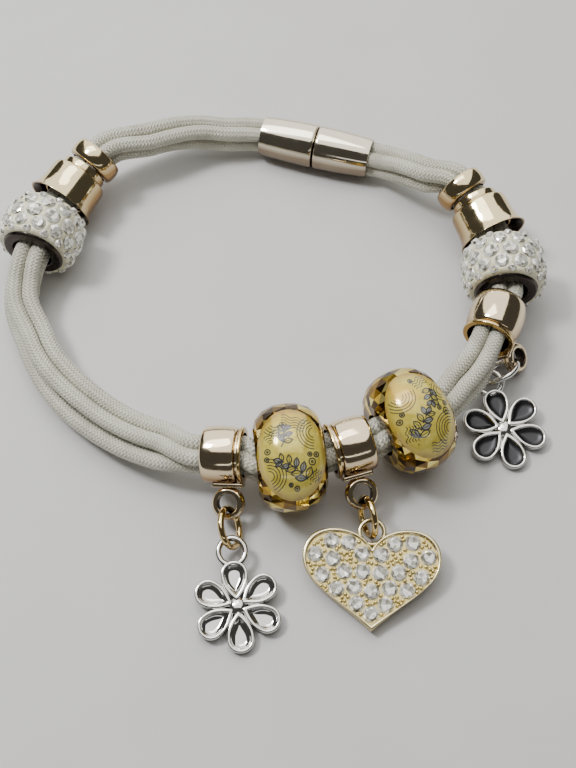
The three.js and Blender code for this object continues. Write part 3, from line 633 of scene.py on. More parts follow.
def flaredProfile():
    look = flaredLook
    hub, shoulder, rim = look["hub"] / 2, look["shoulder"] / 2, look["rim"] / 2
    start, end, flare, wall = -flaredHalf, flaredHalf, rim - shoulder, look["wall"]
    hubEnd = start + look["hubLength"]
    outer = [(hubEnd + run * look["bodyLength"], shoulder + rise * flare, 0) for run, rise in bellShape]
    # The bell's inside, its floor and the bore take the dark third material: painted shade
    inner = [(along, radius - wall, 2) for along, radius, _ in reversed(outer[1:6])]
    tube, tubeEnd, floor = boreRadius + look["tubeWall"], hubEnd + look["tubeLength"], hubEnd + look["floor"]
    return softened([
        (start, boreRadius, 0), (start, hub, 0), (hubEnd - 0.12, hub, 1), (hubEnd, hub - 0.16, 1),
        (hubEnd + 0.02, shoulder - 0.5, 0), (hubEnd + 0.3, shoulder - 0.14, 0), *outer,
        (end, rim, 1), (end, rim - wall / 2, 2), *inner, (floor, shoulder - wall - 0.05, 2), (floor, tube, 1),
        (tubeEnd, tube, 1), (tubeEnd, boreRadius, 2)], look["softness"])


# The third, dark material is painted shade inside the bores and bells
beadMetals = [champagneGold, yellowGold, darkPlatingAndShade]
for side in ("left", "right"):
    node = f"stopper_{side}"
    turnPiece(f"stopperRing_{side}", stopperProfile(), stopperLook["sides"], placeOf(node), beadMetals,
              "rose_gold", node, sharp=50)
for side, turn in (("left", 0), ("right", 180)):
    node = f"flared_bead_{side}"
    turnPiece(f"flaredBead_{side}", flaredProfile(), flaredLook["sides"], placeOf(node, turn), beadMetals,
              "rose_gold", node, sharp=55)
print("clasp, stoppers and flared beads turned")


# A random share for each face, which the facet materials turn into painted glints
def paintFacetGlints(mesh, seed):
    chance = random.Random(seed)
    tones = mesh.attributes.new("facetGlint", "FLOAT", "FACE")
    for i in range(len(mesh.polygons)):
        tones.data[i].value = chance.random()


# One cut stone of diameter 1 and height 1 above its girdle, with a shallow dip under the table
def stoneMesh():
    bm = bmesh.new()
    rings = []
    for radius, shift, rise in ((0.30, 0, 1.0), (0.41, 0.5, 0.62), (0.5, 0, 0.12), (0.5, 0, -0.6)):
        turns = [pi * (k + shift) / 4 for k in range(8)]
        rings.append([bm.verts.new((radius * cos(turn), radius * sin(turn), rise)) for turn in turns])
    table, kite, girdle, root = rings
    dip = bm.verts.new((0, 0, 0.78))
    foot = bm.verts.new((0, 0, -0.6))
    for k in range(8):
        n, back = (k + 1) % 8, (k - 1) % 8
        for corners in ((dip, table[k], table[n]), (table[k], kite[k], table[n]),
                        (kite[back], kite[k], table[k]), (kite[back], girdle[k], kite[k]),
                        (kite[k], girdle[k], girdle[n]), (girdle[k], root[k], root[n], girdle[n]),
                        (root[k], foot, root[n])):
            bm.faces.new(corners)
    bmesh.ops.recalc_face_normals(bm, faces=bm.faces)
    mesh = meshFrom("cutStone", bm)
    paintFacetGlints(mesh, 5)
    return mesh


def grainMesh():
    bm = bmesh.new()
    bmesh.ops.create_icosphere(bm, subdivisions=2, radius=0.5)
    for face in bm.faces:
        face.smooth = True
    return meshFrom("settingGrain", bm)


def settingTree():
    tree, ids, given = startTree("setOnPoints", [("Stone", "Object"), ("Seed", "Int"),
                                                 ("Stone material", "Material")])
    stone = addNode(tree, "GeometryNodeObjectInfo", {"Object": given["Stone"]}).outputs["Geometry"]
    facing, size = (addNode(tree, "GeometryNodeInputNamedAttribute", {"Name": name},
                            data_type="FLOAT_VECTOR").outputs[0] for name in ("facing", "size"))
    aim = addNode(tree, "FunctionNodeAlignRotationToVector", {"Vector": facing}, axis="Z").outputs[0]
    copies = addNode(tree, "GeometryNodeInstanceOnPoints", {
        "Points": given["Geometry"], "Instance": stone, "Rotation": aim, "Scale": size}).outputs[0]
    spin = addNode(tree, "FunctionNodeRandomValue", {0: (0, 0, 0), 1: (0, 0, 2 * pi), "Seed": given["Seed"]},
                   data_type="FLOAT_VECTOR").outputs[0]
    turned = addNode(tree, "GeometryNodeRotateInstances", {"Instances": copies, "Rotation": spin}).outputs[0]
    endTree(tree, turned, given["Stone material"])
    return tree, ids


setOnPoints, settingIds = settingTree()
stoneSource = bpy.data.objects.new("stoneSource", stoneMesh())
grainSource = bpy.data.objects.new("grainSource", grainMesh())


# seats: (point, facing, size) in the piece's own millimetres
def setStones(name, seats, place, shape, material, seed, slotName, node):
    mesh = bpy.data.meshes.new("seats")
    mesh.from_pydata([place @ Vector(seat[0]) for seat in seats], [], [])
    facing = mesh.attributes.new("facing", "FLOAT_VECTOR", "POINT")
    size = mesh.attributes.new("size", "FLOAT_VECTOR", "POINT")
    turn = place.to_3x3().normalized()
    for i, (_, towards, scale) in enumerate(seats):
        facing.data[i].vector = turn @ Vector(towards)
        size.data[i].vector = Vector(scale) * mm
    stones = bakeNodes(linked("seats", mesh), setOnPoints, settingIds,
                       {"Stone": shape, "Seed": seed, "Stone material": material}, name)
    finishPiece(stones, slotName, node)


# Pave beads: a dark core, clay raised between the stones, and rows of stones round the crown
def crownRadius(turn):
    flange, body = paveLook["flange"] / 2, paveLook["diameter"] / 2
    return flange + (body - flange) * sin(turn) ** paveLook["fullness"]


def paveClayProfile():
    half, flange = paveLook["length"] / 2, paveLook["flange"] / 2
    crown = [(half * cos(pi * i / 40), crownRadius(pi * i / 40), 0) for i in range(1, 40)]
    lip = [(half, flange - 0.6, 0), (half, flange - 0.1, 0)]
    return [*lip, *crown, *mirrored(lip)]


def paveCoreProfile():
    half, flange = paveLook["length"] / 2, paveLook["flange"] / 2
    side = [(paveHalf, boreRadius, 0), (paveHalf, flange - 0.3, 0), (half + 0.02, flange, 0),
            (half - 0.05, flange - 0.7, 0)]
    return softened([*side, *mirrored(side)], paveLook["softness"])


# Rows of stones: share of the way to the bead's end, lean in degrees, diameter, and offset in stones
paveRows = ((0, 0, paveLook["stone"], 0), (0.56, 11, paveLook["sideStone"], 0.5),
            (0.88, 42, paveLook["edgeStone"], 0))


def paveSeats():
    half, count = paveLook["length"] / 2, paveLook["perRow"]
    seats = []
    for share, lean, diameter, offset in paveRows:
        for way in (1, -1) if share else (1,):
            along, tilt = way * share * half, radians(way * lean)
            for i in range(count):
                turn = radians(360 * (i + offset) / count)
                out = Vector((0, -sin(turn), cos(turn)))
                seat = Vector((along, 0, 0)) + out * crownRadius(acos(along / half))
                facing = out * cos(tilt) + Vector((sin(tilt), 0, 0))
                seats.append((seat, facing, (diameter, diameter, paveLook["proud"])))
    return seats


def raiseClay(bm):
    seats = [(seat, size[0] / 2) for seat, _, size in paveSeats()]
    for vert in bm.verts:
        out = Vector((0, vert.co.y, vert.co.z))
        if out.length > paveLook["flange"] / 2 + 0.1:
            gap = min((vert.co - seat).length - radius for seat, radius in seats)
            vert.co += out.normalized() * paveLook["ridge"] * min(max(gap / paveLook["slope"], -1), 1)


for number, side in enumerate(("left", "right")):
    node = f"pave_bead_{side}"
    bm = bmesh.new()
    sweep(bm, paveClayProfile(), paveLook["claySides"])
    raiseClay(bm)
    settle(f"paveClay_{side}", bm, placeOf(node), [creamClay], "cream_clay", node, sharp=50)
    turnPiece(f"paveCore_{side}", paveCoreProfile(), paveLook["sides"], placeOf(node), [darkPlatingAndShade],
              "dark_core", node, sharp=50)
    setStones(f"paveStones_{side}", paveSeats(), placeOf(node), stoneSource, clearStone,
              paveLook["seed"] + number, "clear_stone", node)
print("pave beads set")


# Glass beads: flat facets all round, and a smooth printed window towards the front
def glassRadius(share, scale=1.0):
    edge = glassLook["end"] / 2
    bulge = (1 - abs(share) ** glassLook["flatness"]) ** glassLook["fullness"]
    return edge + (glassLook["diameter"] / 2 * scale - edge) * bulge


def facetRows(bm):
    sides = glassLook["sides"]
    shares = (-1, -0.9, -0.68, -0.36, 0, 0.36, 0.68, 0.9, 1)
    rows = [ringOf(bm, share * glassHalf, glassRadius(share), sides, (row % 2) / 2)
            for row, share in enumerate(shares)]
    for row, (near, far) in enumerate(zip(rows, rows[1:])):
        for i in range(sides):
            n = (i + 1) % sides
            ahead, behind = (n, i) if row % 2 else (i, n)
            bm.faces.new((near[i], near[n], far[ahead]))
            bm.faces.new((near[behind], far[n], far[i]))
    bores = [ringOf(bm, way * glassHalf, boreRadius, sides) for way in (-1, 1)]
    for near, far in ((rows[0], bores[0]), (rows[-1], bores[1]), bores):
        bridge(bm, near, far)


def onWindow(x, y, lift=0.0):
    proud = 1 + 2 * glassLook["proud"] / glassLook["diameter"]
    radius = glassRadius(x / glassHalf, proud) + lift
    return Vector((x, y, sqrt(max(radius * radius - y * y, 0.01))))


def windowPatch(bm):
    reach, width = glassLook["length"] * glassLook["windowReach"], glassLook["window"] / 2
    rounds, spokes = 18, 72
    skirt, root = 0.94, 0.8  # its underside, in shares of the way out from the bead's middle
    edge = bm.verts.layers.float.new("windowEdge")
    rings = []
    for i in range(1, rounds + 1):
        share = i / rounds
        spots = [(reach * share * cos(2 * pi * k / spokes), width * share * sin(2 * pi * k / spokes))
                 for k in range(spokes)]
        rings.append([bm.verts.new(onWindow(*spot)) for spot in spots])
        for vert in rings[-1]:
            vert[edge] = share
    rings.append([bm.verts.new(vert.co * skirt) for vert in rings[-1]])
    fan(bm, bm.verts.new(onWindow(0, 0)), rings[0])
    fan(bm, bm.verts.new(onWindow(0, 0) * root), rings[-1])
    for near, far in zip(rings, rings[1:]):
        bridge(bm, near, far)


# Print on the window: lines and filled leaves drawn flat as (x, y) and laid on the glass.
# Each spray is its foot, heading, bend, pairs of leaves and leaf length; each berry its centre and radius;
# each fan its centre, arcs and the angles they run between; each wave its centre, rows, length and heading.
printLook = {"outline": 0.15, "vein": 0.08, "arc": 0.11, "wave": 0.1, "lift": 0.012, "washLift": 0.006,
             "reach": (0.45, 0.48), "leafWidth": 0.5, "leafStep": 0.62, "leafTaper": 0.07, "leafSplay": 55,
             "endLeaf": 0.8, "veinReach": 0.85, "berryHeart": 0.3, "fanStart": 0.6, "fanStep": 0.36,
             "waveGap": 0.34, "waveRise": 0.13}
windowPrints = {
    "left": {
        "sprays": [((1.9, -3.9), 118, 9, 5, 1.45), ((-1.2, 0.9), 62, 12, 3, 1.15)],
        "berries": [((2.3, -1.2), 0.4), ((2.9, -0.4), 0.3), ((2.1, -0.3), 0.26), ((-2.9, 0.5), 0.32),
                    ((-3.1, -0.4), 0.26), ((0.2, -4.2), 0.3), ((-0.5, -3.7), 0.24)],
        "fans": [((2.9, 2.3), 5, 95, 265), ((-3.0, -2.4), 5, -75, 95), ((-1.6, 4.0), 4, 205, 345)],
        "waves": [((0.6, 3.9), 5, 3.0, -20), ((-2.2, 2.4), 4, 1.8, 35), ((2.6, -2.9), 4, 1.6, 60)],
    },
    "right": {
        "sprays": [((-2.3, -3.2), 62, -7, 4, 1.5), ((2.6, 2.9), 232, 10, 3, 1.2)],
        "berries": [((2.7, -0.9), 0.4), ((3.1, 0.0), 0.28), ((2.0, -0.2), 0.26), ((-3.2, 0.3), 0.32),
                    ((-2.6, 1.0), 0.26), ((0.6, 4.3), 0.26)],
        "fans": [((2.4, -3.0), 5, 60, 230), ((-1.9, 3.2), 5, 190, 360), ((3.5, 1.6), 3, 110, 250)],
        "waves": [((-2.6, -1.6), 5, 1.9, 75), ((1.4, 3.9), 4, 2.0, 15), ((0.3, -4.3), 4, 2.2, -10)],
    },
}


def isOnWindow(x, y):
    along, across = printLook["reach"]
    return (x / (along * glassLook["length"])) ** 2 + (y / (across * glassLook["window"])) ** 2 < 1


def drawLine(bm, points, kind):
    flat = [Vector(point) for point in points if isOnWindow(*point)]
    if len(flat) < 2:
        return
    verts = []
    for i, here in enumerate(flat):
        ahead = (flat[min(i + 1, len(flat) - 1)] - flat[max(i - 1, 0)]).normalized()
        across = Vector((-ahead.y, ahead.x)) * printLook[kind] / 2
        verts.append([bm.verts.new(onWindow(*(here + across * way), printLook["lift"])) for way in (1, -1)])
    for a, b in zip(verts, verts[1:]):
        bm.faces.new((a[0], a[1], b[1], b[0]))


def arcPoints(centre, radius, start, end, steps=18):
    turns = [radians(start + (end - start) * i / steps) for i in range(steps + 1)]
    return [(centre[0] + radius * cos(turn), centre[1] + radius * sin(turn)) for turn in turns]


def turnedFlat(points, foot, heading):
    c, s = cos(radians(heading)), sin(radians(heading))
    return [(foot[0] + x * c - y * s, foot[1] + x * s + y * c) for x, y in points]


def drawLeaf(bm, foot, length, heading, filled):
    half, vein = length * printLook["leafWidth"] / 2, length * printLook["veinReach"]
    edge = [(length * i / 9, half * sin(pi * i / 9)) for i in range(10)]
    edge += [(x, -y) for x, y in reversed(edge[1:-1])] + [edge[0]]
    outline = turnedFlat(edge, foot, heading)
    middle, tip = turnedFlat([(vein / 2, 0), (vein, 0)], foot, heading)
    drawLine(bm, outline, "outline")
    drawLine(bm, [foot, middle, tip], "vein")
    if filled and all(isOnWindow(*point) for point in outline):
        ring = [bm.verts.new(onWindow(*point, printLook["washLift"])) for point in outline[:-1]]
        fan(bm, bm.verts.new(onWindow(*middle, printLook["washLift"])), ring, 1)


def drawSpray(bm, foot, heading, bend, pairs, leaf):
    stem = [foot]
    for i in range(pairs):
        turn = heading + bend * i
        stem += turnedFlat([(printLook["leafStep"] * leaf, 0)], stem[-1], turn)
        size = leaf * (1 - printLook["leafTaper"] * i)
        for way in (1, -1):
            drawLeaf(bm, stem[-1], size, turn + way * printLook["leafSplay"], (i + way) % 4 < 2)
    drawLeaf(bm, stem[-1], leaf * printLook["endLeaf"], heading + bend * pairs, True)
    drawLine(bm, stem, "outline")


def drawPrint(bm, design):
    for spray in design["sprays"]:
        drawSpray(bm, *spray)
    for centre, radius in design["berries"]:
        drawLine(bm, arcPoints(centre, radius, 0, 360), "outline")
        drawLine(bm, arcPoints(centre, radius * printLook["berryHeart"], 0, 360, steps=8), "outline")
    for centre, rounds, start, end in design["fans"]:
        for i in range(rounds):
            radius = printLook["fanStart"] + printLook["fanStep"] * i
            drawLine(bm, arcPoints(centre, radius, start, end), "arc")
    for centre, rows, length, heading in design["waves"]:
        for row in range(rows):
            rise = printLook["waveGap"] * (row - rows / 2)
            flat = [(length * (i / 14 - 0.5), rise + printLook["waveRise"] * sin(i * 0.9)) for i in range(15)]
            drawLine(bm, turnedFlat(flat, centre, heading), "wave")


aimWindow = Matrix.Rotation(radians(glassLook["aim"]), 4, "X")
for number, side in enumerate(("left", "right")):
    node = f"glass_bead_{side}"
    place = placeOf(node) @ aimWindow
    bm = bmesh.new()
    facetRows(bm)
    facets = settle(f"glassFacets_{side}", bm, place, [amberFacets], "amber_glass", node, smooth=False)
    paintFacetGlints(facets.data, glassLook["seed"] + number)
    bm = bmesh.new()
    windowPatch(bm)
    settle(f"glassWindow_{side}", bm, place, [printedWindow], "amber_glass", node, sharp=50)
    bm = bmesh.new()
    drawPrint(bm, windowPrints[side])
    for face in bm.faces:
        face.smooth = True
        face.normal_update()
        if face.normal.z < 0:
            face.normal_flip()
    printMesh = meshFrom(f"glassPrint_{side}", bm)
    printMesh.transform(place)
    finishPiece(pieceFrom(f"glassPrint_{side}", printMesh, [greyInk, greyWash]), "amber_glass", node)
print("glass beads cut and printed")

# Bail beads: barrel, groove, flange, and a saddle with its ring
saddleLook = {"length": 3.9, "width": 2.4, "thickness": 0.6, "bevel": 0.22, "sink": 0.25, "ring": 4.2,
              "hole": 2.5, "ringThickness": 1.5}


def bailReach(look):
    return look["diameter"] / 2 + saddleLook["thickness"] / 2 + saddleLook["ring"] / 2


def bailProfile(look):
    half, edge = look["length"] / 2, boreRadius + 0.12
    barrel = swelling(-half, edge, (look["diameter"] + look["crown"]) / 2 - edge, look["fullness"])
    near, far, rim = half + look["groove"], bailHalf(look), look["flange"] / 2
    # The bore takes the dark third material: painted shade
    lip = softened([(near, edge, 1), (near, rim, 1), (far, rim, 1), (far, boreRadius, 2)], 0.16, closed=False)
    return [(-half, boreRadius, 0), *barrel, *lip]


def saddleRingProfile():
    hole, outer, half = saddleLook["hole"] / 2, saddleLook["ring"] / 2, saddleLook["ringThickness"] / 2
    crown = [(-half, outer - 0.3, 0), (-half * 0.55, outer, 0), (-half * 0.15, outer - 0.13, 0)]
    # The ring's hole takes the dark second material: painted shade
    return softened([(-half, hole, 0), *crown, *mirrored(crown), (half, hole, 1)], 0.14)


def addSaddle(bm, look):
    thick = saddleLook["thickness"]
    plate = bmesh.new()
    bmesh.ops.create_cube(plate, size=1)
    bmesh.ops.scale(plate, vec=(saddleLook["length"], saddleLook["width"], thick), verts=plate.verts)
    bmesh.ops.bevel(plate, geom=plate.edges[:], offset=saddleLook["bevel"], segments=4, affect="EDGES",
                    profile=0.6)
    drop = -look["diameter"] / 2 - thick / 2 + saddleLook["sink"]
    bmesh.ops.translate(plate, vec=(0, 0, drop), verts=plate.verts)
    ring = bmesh.new()
    sweep(ring, saddleRingProfile(), 56)
    ring.transform(Matrix.Translation((0, 0, -bailReach(look))) @ Matrix.Rotation(pi / 2, 4, "Z"))
    joinInto(bm, plate, ring)


# How each charm hangs: its bead and the bead's turn, the bail ring's lean from straight down and its shift
# along the bead, the chain of rings' heading, drop and slack, the jump ring's twist, and how the charm lies
charms = {
    "left": {"bead": "bail_bead_left", "look": bailLook, "turn": 0, "lean": 61, "shift": 1.0,
             "chain": 275, "drop": 10, "slack": 0, "twist": 15, "lie": 277},
    "middle": {"bead": "bail_bead_right", "look": bailLook, "turn": 180, "lean": 61, "shift": -0.5,
               "chain": 284, "drop": 11, "slack": 1.0, "twist": -8, "lie": 268},
    "right": {"bead": "ball_bail_bead", "look": ballLook, "turn": 180, "lean": 44, "shift": -2,
              "chain": 225, "drop": -2, "slack": 0.6, "twist": 0, "lie": 284},
}
for side, charm in charms.items():
    node, look = charm["bead"], charm["look"]
    saddle = bmesh.new()
    addSaddle(saddle, look)
    lean = Matrix.Rotation(radians(-charm["lean"]), 4, "X")
    saddle.transform(Matrix.Translation((charm["shift"], 0, 0)) @ lean)
    settle(f"bailSaddle_{side}", saddle, placeOf(node), [roseGold, darkPlatingAndShade], "rose_gold", node, sharp=60)
    turnPiece(f"bailBead_{side}", bailProfile(look), look["sides"], placeOf(node, charm["turn"]),
              [roseGold, yellowGold, darkPlatingAndShade], "rose_gold", node, sharp=50)
print("bail beads turned")

# Jump rings and the way each charm lies
jumpLook = {"diameter": 5.6, "wire": 0.72, "clearance": 0.35, "wall": 0.7, "fatter": 0.1}
flowerLook = {"ring": 4.2, "ringWire": 0.8, "ringSink": 0.1, "radius": 5.65, "thickness": 1.1, "rim": 0.46,
              "dish": 0.45, "petal": 3.4, "root": 0.55}
heartLook = {"width": 17.2, "height": 12.5, "cleft": 0.8, "thickness": 1.7, "rim": 0.5, "dish": 0.4,
             "ring": 3.7, "ringWire": 0.6, "ringRise": 0.35, "stone": 2.14, "netFoot": 2.3, "pitch": 1.94,
             "jitter": 0.1, "spacing": 2.42, "push": 0.22, "rounds": 100, "proud": 0.45, "grain": 0.5,
             "grainGap": 0.88, "grainOverlap": 0.22, "grainRise": 0.12, "grainTries": 12000,
             "grainField": ((-8, 8), (0.5, 12.4)), "netSeed": 4, "grainSeed": 8, "stoneSeed": 31,
             "grainTurnSeed": 32}
flowerRingReach = (flowerLook["radius"] + flowerLook["ring"] / 2 - flowerLook["ringWire"]
                   - flowerLook["ringSink"])
heartRingReach = heartLook["cleft"] * heartLook["height"] + heartLook["ring"] / 2 + heartLook["ringRise"]


def hangCharm(charm, look, ringToTip):
    found = stopNamed(charm["bead"])
    along, outside, up, middle = axesAt(found["place"], found["heading"], found["climb"])
    lean = radians(charm["lean"])
    down = outside * sin(lean) - up * cos(lean)
    eye = middle + (down * bailReach(charm["look"]) + along * charm["shift"]) * mm
    chain = headed(charm["chain"], -charm["drop"])
    hole = along.cross(down)
    inner = jumpLook["diameter"] / 2 - jumpLook["wire"] - jumpLook["clearance"]
    first = saddleLook["ring"] / 2 - jumpLook["wall"] + inner
    second = look["ring"] / 2 - look["ringWire"] + inner - charm["slack"]
    across = (hole - chain * hole.dot(chain)).normalized()
    across = Matrix.Rotation(radians(charm["twist"]), 3, chain) @ across
    jumpPlace = frameOf(chain, across, chain.cross(across), eye + chain * first * mm)
    charmRing = eye + chain * (first + second) * mm
    fall = (charmRing.z - (look["thickness"] / 2 * mm + loopShift.z)) / (ringToTip * mm)
    rise = sqrt(1 - fall * fall)
    lie = radians(charm["lie"])
    away = Vector((-cos(lie) * rise, -sin(lie) * rise, fall))
    side = Vector((-sin(lie), cos(lie), 0))
    return jumpPlace, frameOf(side, away, side.cross(away), charmRing)


def addTorus(bm, diameter, wire, shift=(0, 0, 0), segments=72, sides=20):
    mean, thick = (diameter - wire) / 2, wire / 2
    turns = [2 * pi * k / sides for k in range(sides)]
    torus = bmesh.new()
    sweep(torus, [(thick * sin(turn), mean + thick * cos(turn), 0) for turn in turns], segments)
    torus.transform(Matrix.Translation(shift) @ Matrix.Rotation(-pi / 2, 4, "Y"))
    joinInto(bm, torus)


def addCharmRing(bm, look, reach):
    addTorus(bm, look["ring"], look["ringWire"], (0, reach, look["thickness"] / 2), segments=56, sides=18)
    bm.transform(Matrix.Translation((0, -reach, -look["thickness"] / 2)))


def addJumpRing(side, place, material, slotName):
    bm = bmesh.new()
    addTorus(bm, jumpLook["diameter"] + jumpLook["fatter"], jumpLook["wire"] + jumpLook["fatter"])
    settle(f"jumpRing_{side}", bm, place, [material], slotName, f"jump_ring_{side}")


# An outline from the bezier spans of its right half, with the left half as its mirror image
def mirroredOutline(spans, steps):
    back = [tuple((-x, y) for x, y in reversed(span)) for span in reversed(spans)]
    points = []
    for a, b, c, d in spans + back:
        for i in range(steps):
            t = i / steps
            s = 1 - t
            points.append(tuple(s ** 3 * a[k] + 3 * s * s * t * b[k] + 3 * s * t * t * c[k] + t ** 3 * d[k]
                                for k in range(2)))
    return points


# Rings of one outline as (inset, height, material): a rim, and a floor inside it
def stackOutlines(bm, outlineAt, rounds):
    rings = [[bm.verts.new((x, y, height)) for x, y in outlineAt(inset)] for inset, height, _ in rounds]
    for near, far, (_, _, finish) in zip(rings, rings[1:], rounds):
        bridge(bm, near, far, finish)
    bm.faces.new(rings[-1]).material_index = rounds[-1][2]
    bm.faces.new(list(reversed(rings[0])))


def petalOutline(inset):
    rim = flowerLook["rim"]
    tip, half = flowerLook["radius"] - inset, flowerLook["petal"] / 2 - inset
    root = flowerLook["root"] + min(inset, rim) * 1.7 + max(inset - rim, 0) * 1.2
    return mirroredOutline([
        ((0, root), (half * 0.55, root + 0.9), (half, tip - half * 1.9), (half, tip - half)),
        ((half, tip - half), (half, tip - half * 0.42), (half * 0.55, tip), (0, tip)),
    ], 12)


def flowerMesh(bm):
    thick, rim, dish = flowerLook["thickness"], flowerLook["rim"], flowerLook["dish"]
    floor = thick - dish
    rounds = [(0.1, 0, 0), (0.02, 0.08, 0), (0, 0.2, 0), (0, thick - 0.22, 0), (0.05, thick - 0.07, 0),
              (0.15, thick, 0), (rim - 0.14, thick, 0), (rim - 0.04, thick - 0.05, 0), (rim, thick - 0.13, 1),
              (rim + 0.08, thick - 0.24, 1), (rim + 0.2, thick - 0.34, 1), (rim + 0.35, floor + 0.02, 1),
              (rim + 0.5, floor - 0.05, 1), (rim + 0.66, floor - 0.09, 1), (rim + 0.82, floor - 0.1, 1)]
    for i in range(6):
        petal = bmesh.new()
        stackOutlines(petal, petalOutline, rounds)
        petal.transform(Matrix.Rotation(radians(60 * i), 4, "Z"))
        joinInto(bm, petal)
    boss = bmesh.new()
    sweep(boss, [(thick + 0.1, 0, 0), (thick + 0.07, 0.3, 0), (thick, 0.6, 0), (thick - 0.12, 0.9, 0),
                 (thick - 0.35, 1.2, 0), (0.1, 1.4, 0), (0, 1.3, 0), (0, 0, 0)], 32, closed=False)
    boss.transform(Matrix.Rotation(-pi / 2, 4, "Y"))
    joinInto(bm, boss)
    addCharmRing(bm, flowerLook, flowerRingReach)


# The right flower's petal floors take the near-black petal metal: painted reflection
for side, ringMetal, ringSlot, petalMetal in (("left", yellowGold, "link_gold", greyPetal),
                                              ("right", charmSilver, "charm_silver", darkReflectionPetal)):
    jumpPlace, charmPlace = hangCharm(charms[side], flowerLook, flowerRingReach + flowerLook["radius"])
    addJumpRing(side, jumpPlace, ringMetal, ringSlot)
    bm = bmesh.new()
    flowerMesh(bm)
    settle(f"flowerCharm_{side}", bm, charmPlace, [charmSilver, petalMetal], "charm_silver",
           f"flower_charm_{side}", sharp=65)
print("flower charms hung")


def heartOutline(inset):
    half, tall = heartLook["width"] / 2 - inset, heartLook["height"] - inset
    foot, cleft = inset * 1.45, heartLook["cleft"] * heartLook["height"] - inset * 1.3
    return mirroredOutline([
        ((0, foot), (0.47 * half, 0.3 * tall), (half, 0.45 * tall), (half, 0.72 * tall)),
        ((half, 0.72 * tall), (half, 0.89 * tall), (0.83 * half, tall), (0.55 * half, tall)),
        ((0.55 * half, tall), (0.31 * half, tall), (0.1 * half, 0.93 * tall), (0, cleft)),
    ], 16)


def isInside(outline, x, y):
    inside = False
    for (ax, ay), (bx, by) in zip(outline, outline[1:] + outline[:1]):
        if (ay > y) != (by > y) and x < (bx - ax) * (y - ay) / (by - ay) + ax:
            inside = not inside
    return inside


# Stones start on a net and push each other apart until they fill the heart
def heartSeats():
    inner = [Vector(corner) for corner in heartOutline(heartLook["rim"])]
    reach = heartLook["stone"] / 2 - 0.02
    pitch, spacing, jitter = heartLook["pitch"], heartLook["spacing"], heartLook["jitter"]

    def hasRoom(seat):
        return isInside(inner, *seat) and min((seat - corner).length for corner in inner) > reach

    net = [Vector(((column + (row % 2) / 2) * pitch, heartLook["netFoot"] + row * pitch * sin(pi / 3)))
           for row in range(7) for column in range(-5, 6)]
    chance = random.Random(heartLook["netSeed"])
    seats = [seat + Vector((chance.uniform(-jitter, jitter), chance.uniform(-jitter, jitter)))
             for seat in net if hasRoom(seat)]
    for _ in range(heartLook["rounds"]):
        for i, seat in enumerate(seats):
            push = Vector((0, 0))
            for k, other in enumerate(seats):
                apart = seat - other
                if k != i and apart.length < spacing:
                    push += apart.normalized() * (spacing - apart.length) * heartLook["push"]
            tries = [seat + push * share for share in (1, 0.4, 0.1)]
            seats[i] = next((tried for tried in tries if hasRoom(tried)), seat)
    return seats


# Grains of metal stand in the gaps between the stones
def grainSeatsFor(stones):
    size = heartLook["grain"]
    outline = heartOutline(heartLook["rim"] + size / 2)
    reach = heartLook["stone"] / 2 + size * heartLook["grainOverlap"]
    chance = random.Random(heartLook["grainSeed"])
    grains = []
    for _ in range(heartLook["grainTries"]):
        spot = Vector([chance.uniform(*span) for span in heartLook["grainField"]])
        if not isInside(outline, spot.x, spot.y) or any((spot - seat).length < reach for seat in stones):
            continue
        if all((spot - other).length > size * heartLook["grainGap"] for other in grains):
            grains.append(spot)
    return grains


def heartMesh(bm):
    thick, rim = heartLook["thickness"], heartLook["rim"]
    stackOutlines(bm, heartOutline, [
        (0.14, 0, 0), (0.03, 0.06, 0), (0, 0.2, 0), (0, thick - 0.3, 0), (0.03, thick - 0.12, 0),
        (0.12, thick - 0.02, 0), (0.25, thick, 0), (rim - 0.12, thick - 0.02, 0),
        (rim - 0.03, thick - 0.12, 0), (rim, thick - heartLook["dish"], 1)])
    addCharmRing(bm, heartLook, heartRingReach)


def seatsOnHeart(spots, rise, size):
    floor = heartLook["thickness"] / 2 - heartLook["dish"]
    return [((spot.x, spot.y - heartRingReach, floor + rise), (0, 0, 1), size) for spot in spots]


jumpPlace, heartPlace = hangCharm(charms["middle"], heartLook, heartRingReach)
addJumpRing("middle", jumpPlace, yellowGold, "link_gold")
bm = bmesh.new()
heartMesh(bm)
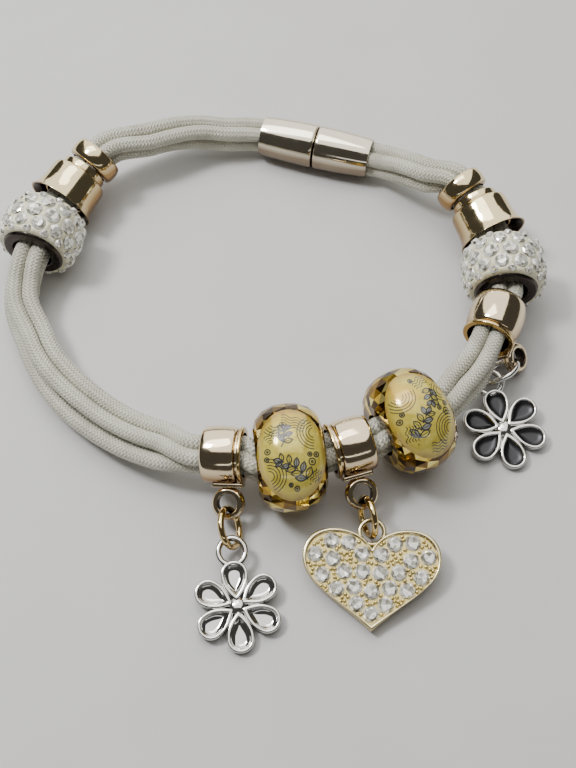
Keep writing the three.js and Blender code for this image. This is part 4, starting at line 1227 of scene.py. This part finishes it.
# The floor takes the darker second material: painted shade between the stones
settle("heartPlate", bm, heartPlace, [heartGold, shadedHeartFloorGold], "heart_gold", "heart_charm", sharp=50)
heartStones = heartSeats()
stoneSize = (heartLook["stone"], heartLook["stone"], heartLook["proud"])
stoneSeats = seatsOnHeart(heartStones, 0, stoneSize)
grainSeats = seatsOnHeart(grainSeatsFor(heartStones), heartLook["grainRise"], (heartLook["grain"],) * 3)
print(len(stoneSeats), "heart stones and", len(grainSeats), "grains")
setStones("heartStones", stoneSeats, heartPlace, stoneSource, clearStone, heartLook["stoneSeed"],
          "clear_stone", "heart_charm")
setStones("heartGrains", grainSeats, heartPlace, grainSource, shadedHeartFloorGold, heartLook["grainTurnSeed"],
          "heart_gold", "heart_charm")
print("heart charm set")

# Pale floor and soft studio light
roomLook = {"floor": 0.42, "fill": 0.13, "mirrored": 0.055, "seen": 0.7}
bm = bmesh.new()
bmesh.ops.create_circle(bm, cap_ends=True, segments=128, radius=roomLook["floor"])
floorPaint, floorTree, floorSockets = startMaterial("paleFloor", Roughness=0.75)
floorTones = [(0.3, (0.60, 0.60, 0.595)), (0.7, (0.63, 0.63, 0.625))]
feed(floorTree, floorSockets, Base_Color=toneRamp(floorTree, speckle(floorTree, 60.0), floorTones))
pieceFrom("floor", meshFrom("floor", bm), [floorPaint])

# The room is bright to the camera, dim in mirrored metal, and fills the shadows a little
world = bpy.data.worlds.new("studio")
bpy.context.scene.world = world
world.use_nodes = True
studio = world.node_tree
background = studio.nodes["Background"].inputs
background["Color"].default_value = (1.0, 0.95, 0.89, 1)
rays = addNode(studio, "ShaderNodeLightPath").outputs
roomLight = spread(studio, rays["Is Glossy Ray"], 0.0, 1.0, roomLook["fill"], roomLook["mirrored"])
extra = roomLook["seen"] - roomLook["fill"]
feed(studio, background, Strength=calc(studio, "MULTIPLY_ADD", rays["Is Camera Ray"], extra, roomLight))


def softLight(name, place, size, power, tone=(1, 1, 1)):
    light = bpy.data.lights.new(name, "AREA")
    light.shape = "RECTANGLE"
    light.size, light.size_y = size
    light.energy = power
    light.color = tone
    lamp = linked(name, light)
    lamp.location = place
    lamp.rotation_euler = (-Vector(place)).to_track_quat("-Z", "Y").to_euler()


softLight("overheadCard", (0, 0.26, 0.36), (0.62, 1.1), 3.3, (1, 0.98, 0.94))
softLight("innerCard", (-0.06, 0.12, 0.30), (0.20, 0.16), 0.3)
softLight("keyLamp", (-0.17, 0.05, 0.30), (0.07, 0.07), 0.8)
softLight("frontStrip", (0.08, -0.40, 0.20), (0.5, 0.03), 0.08)

print("scene ready")
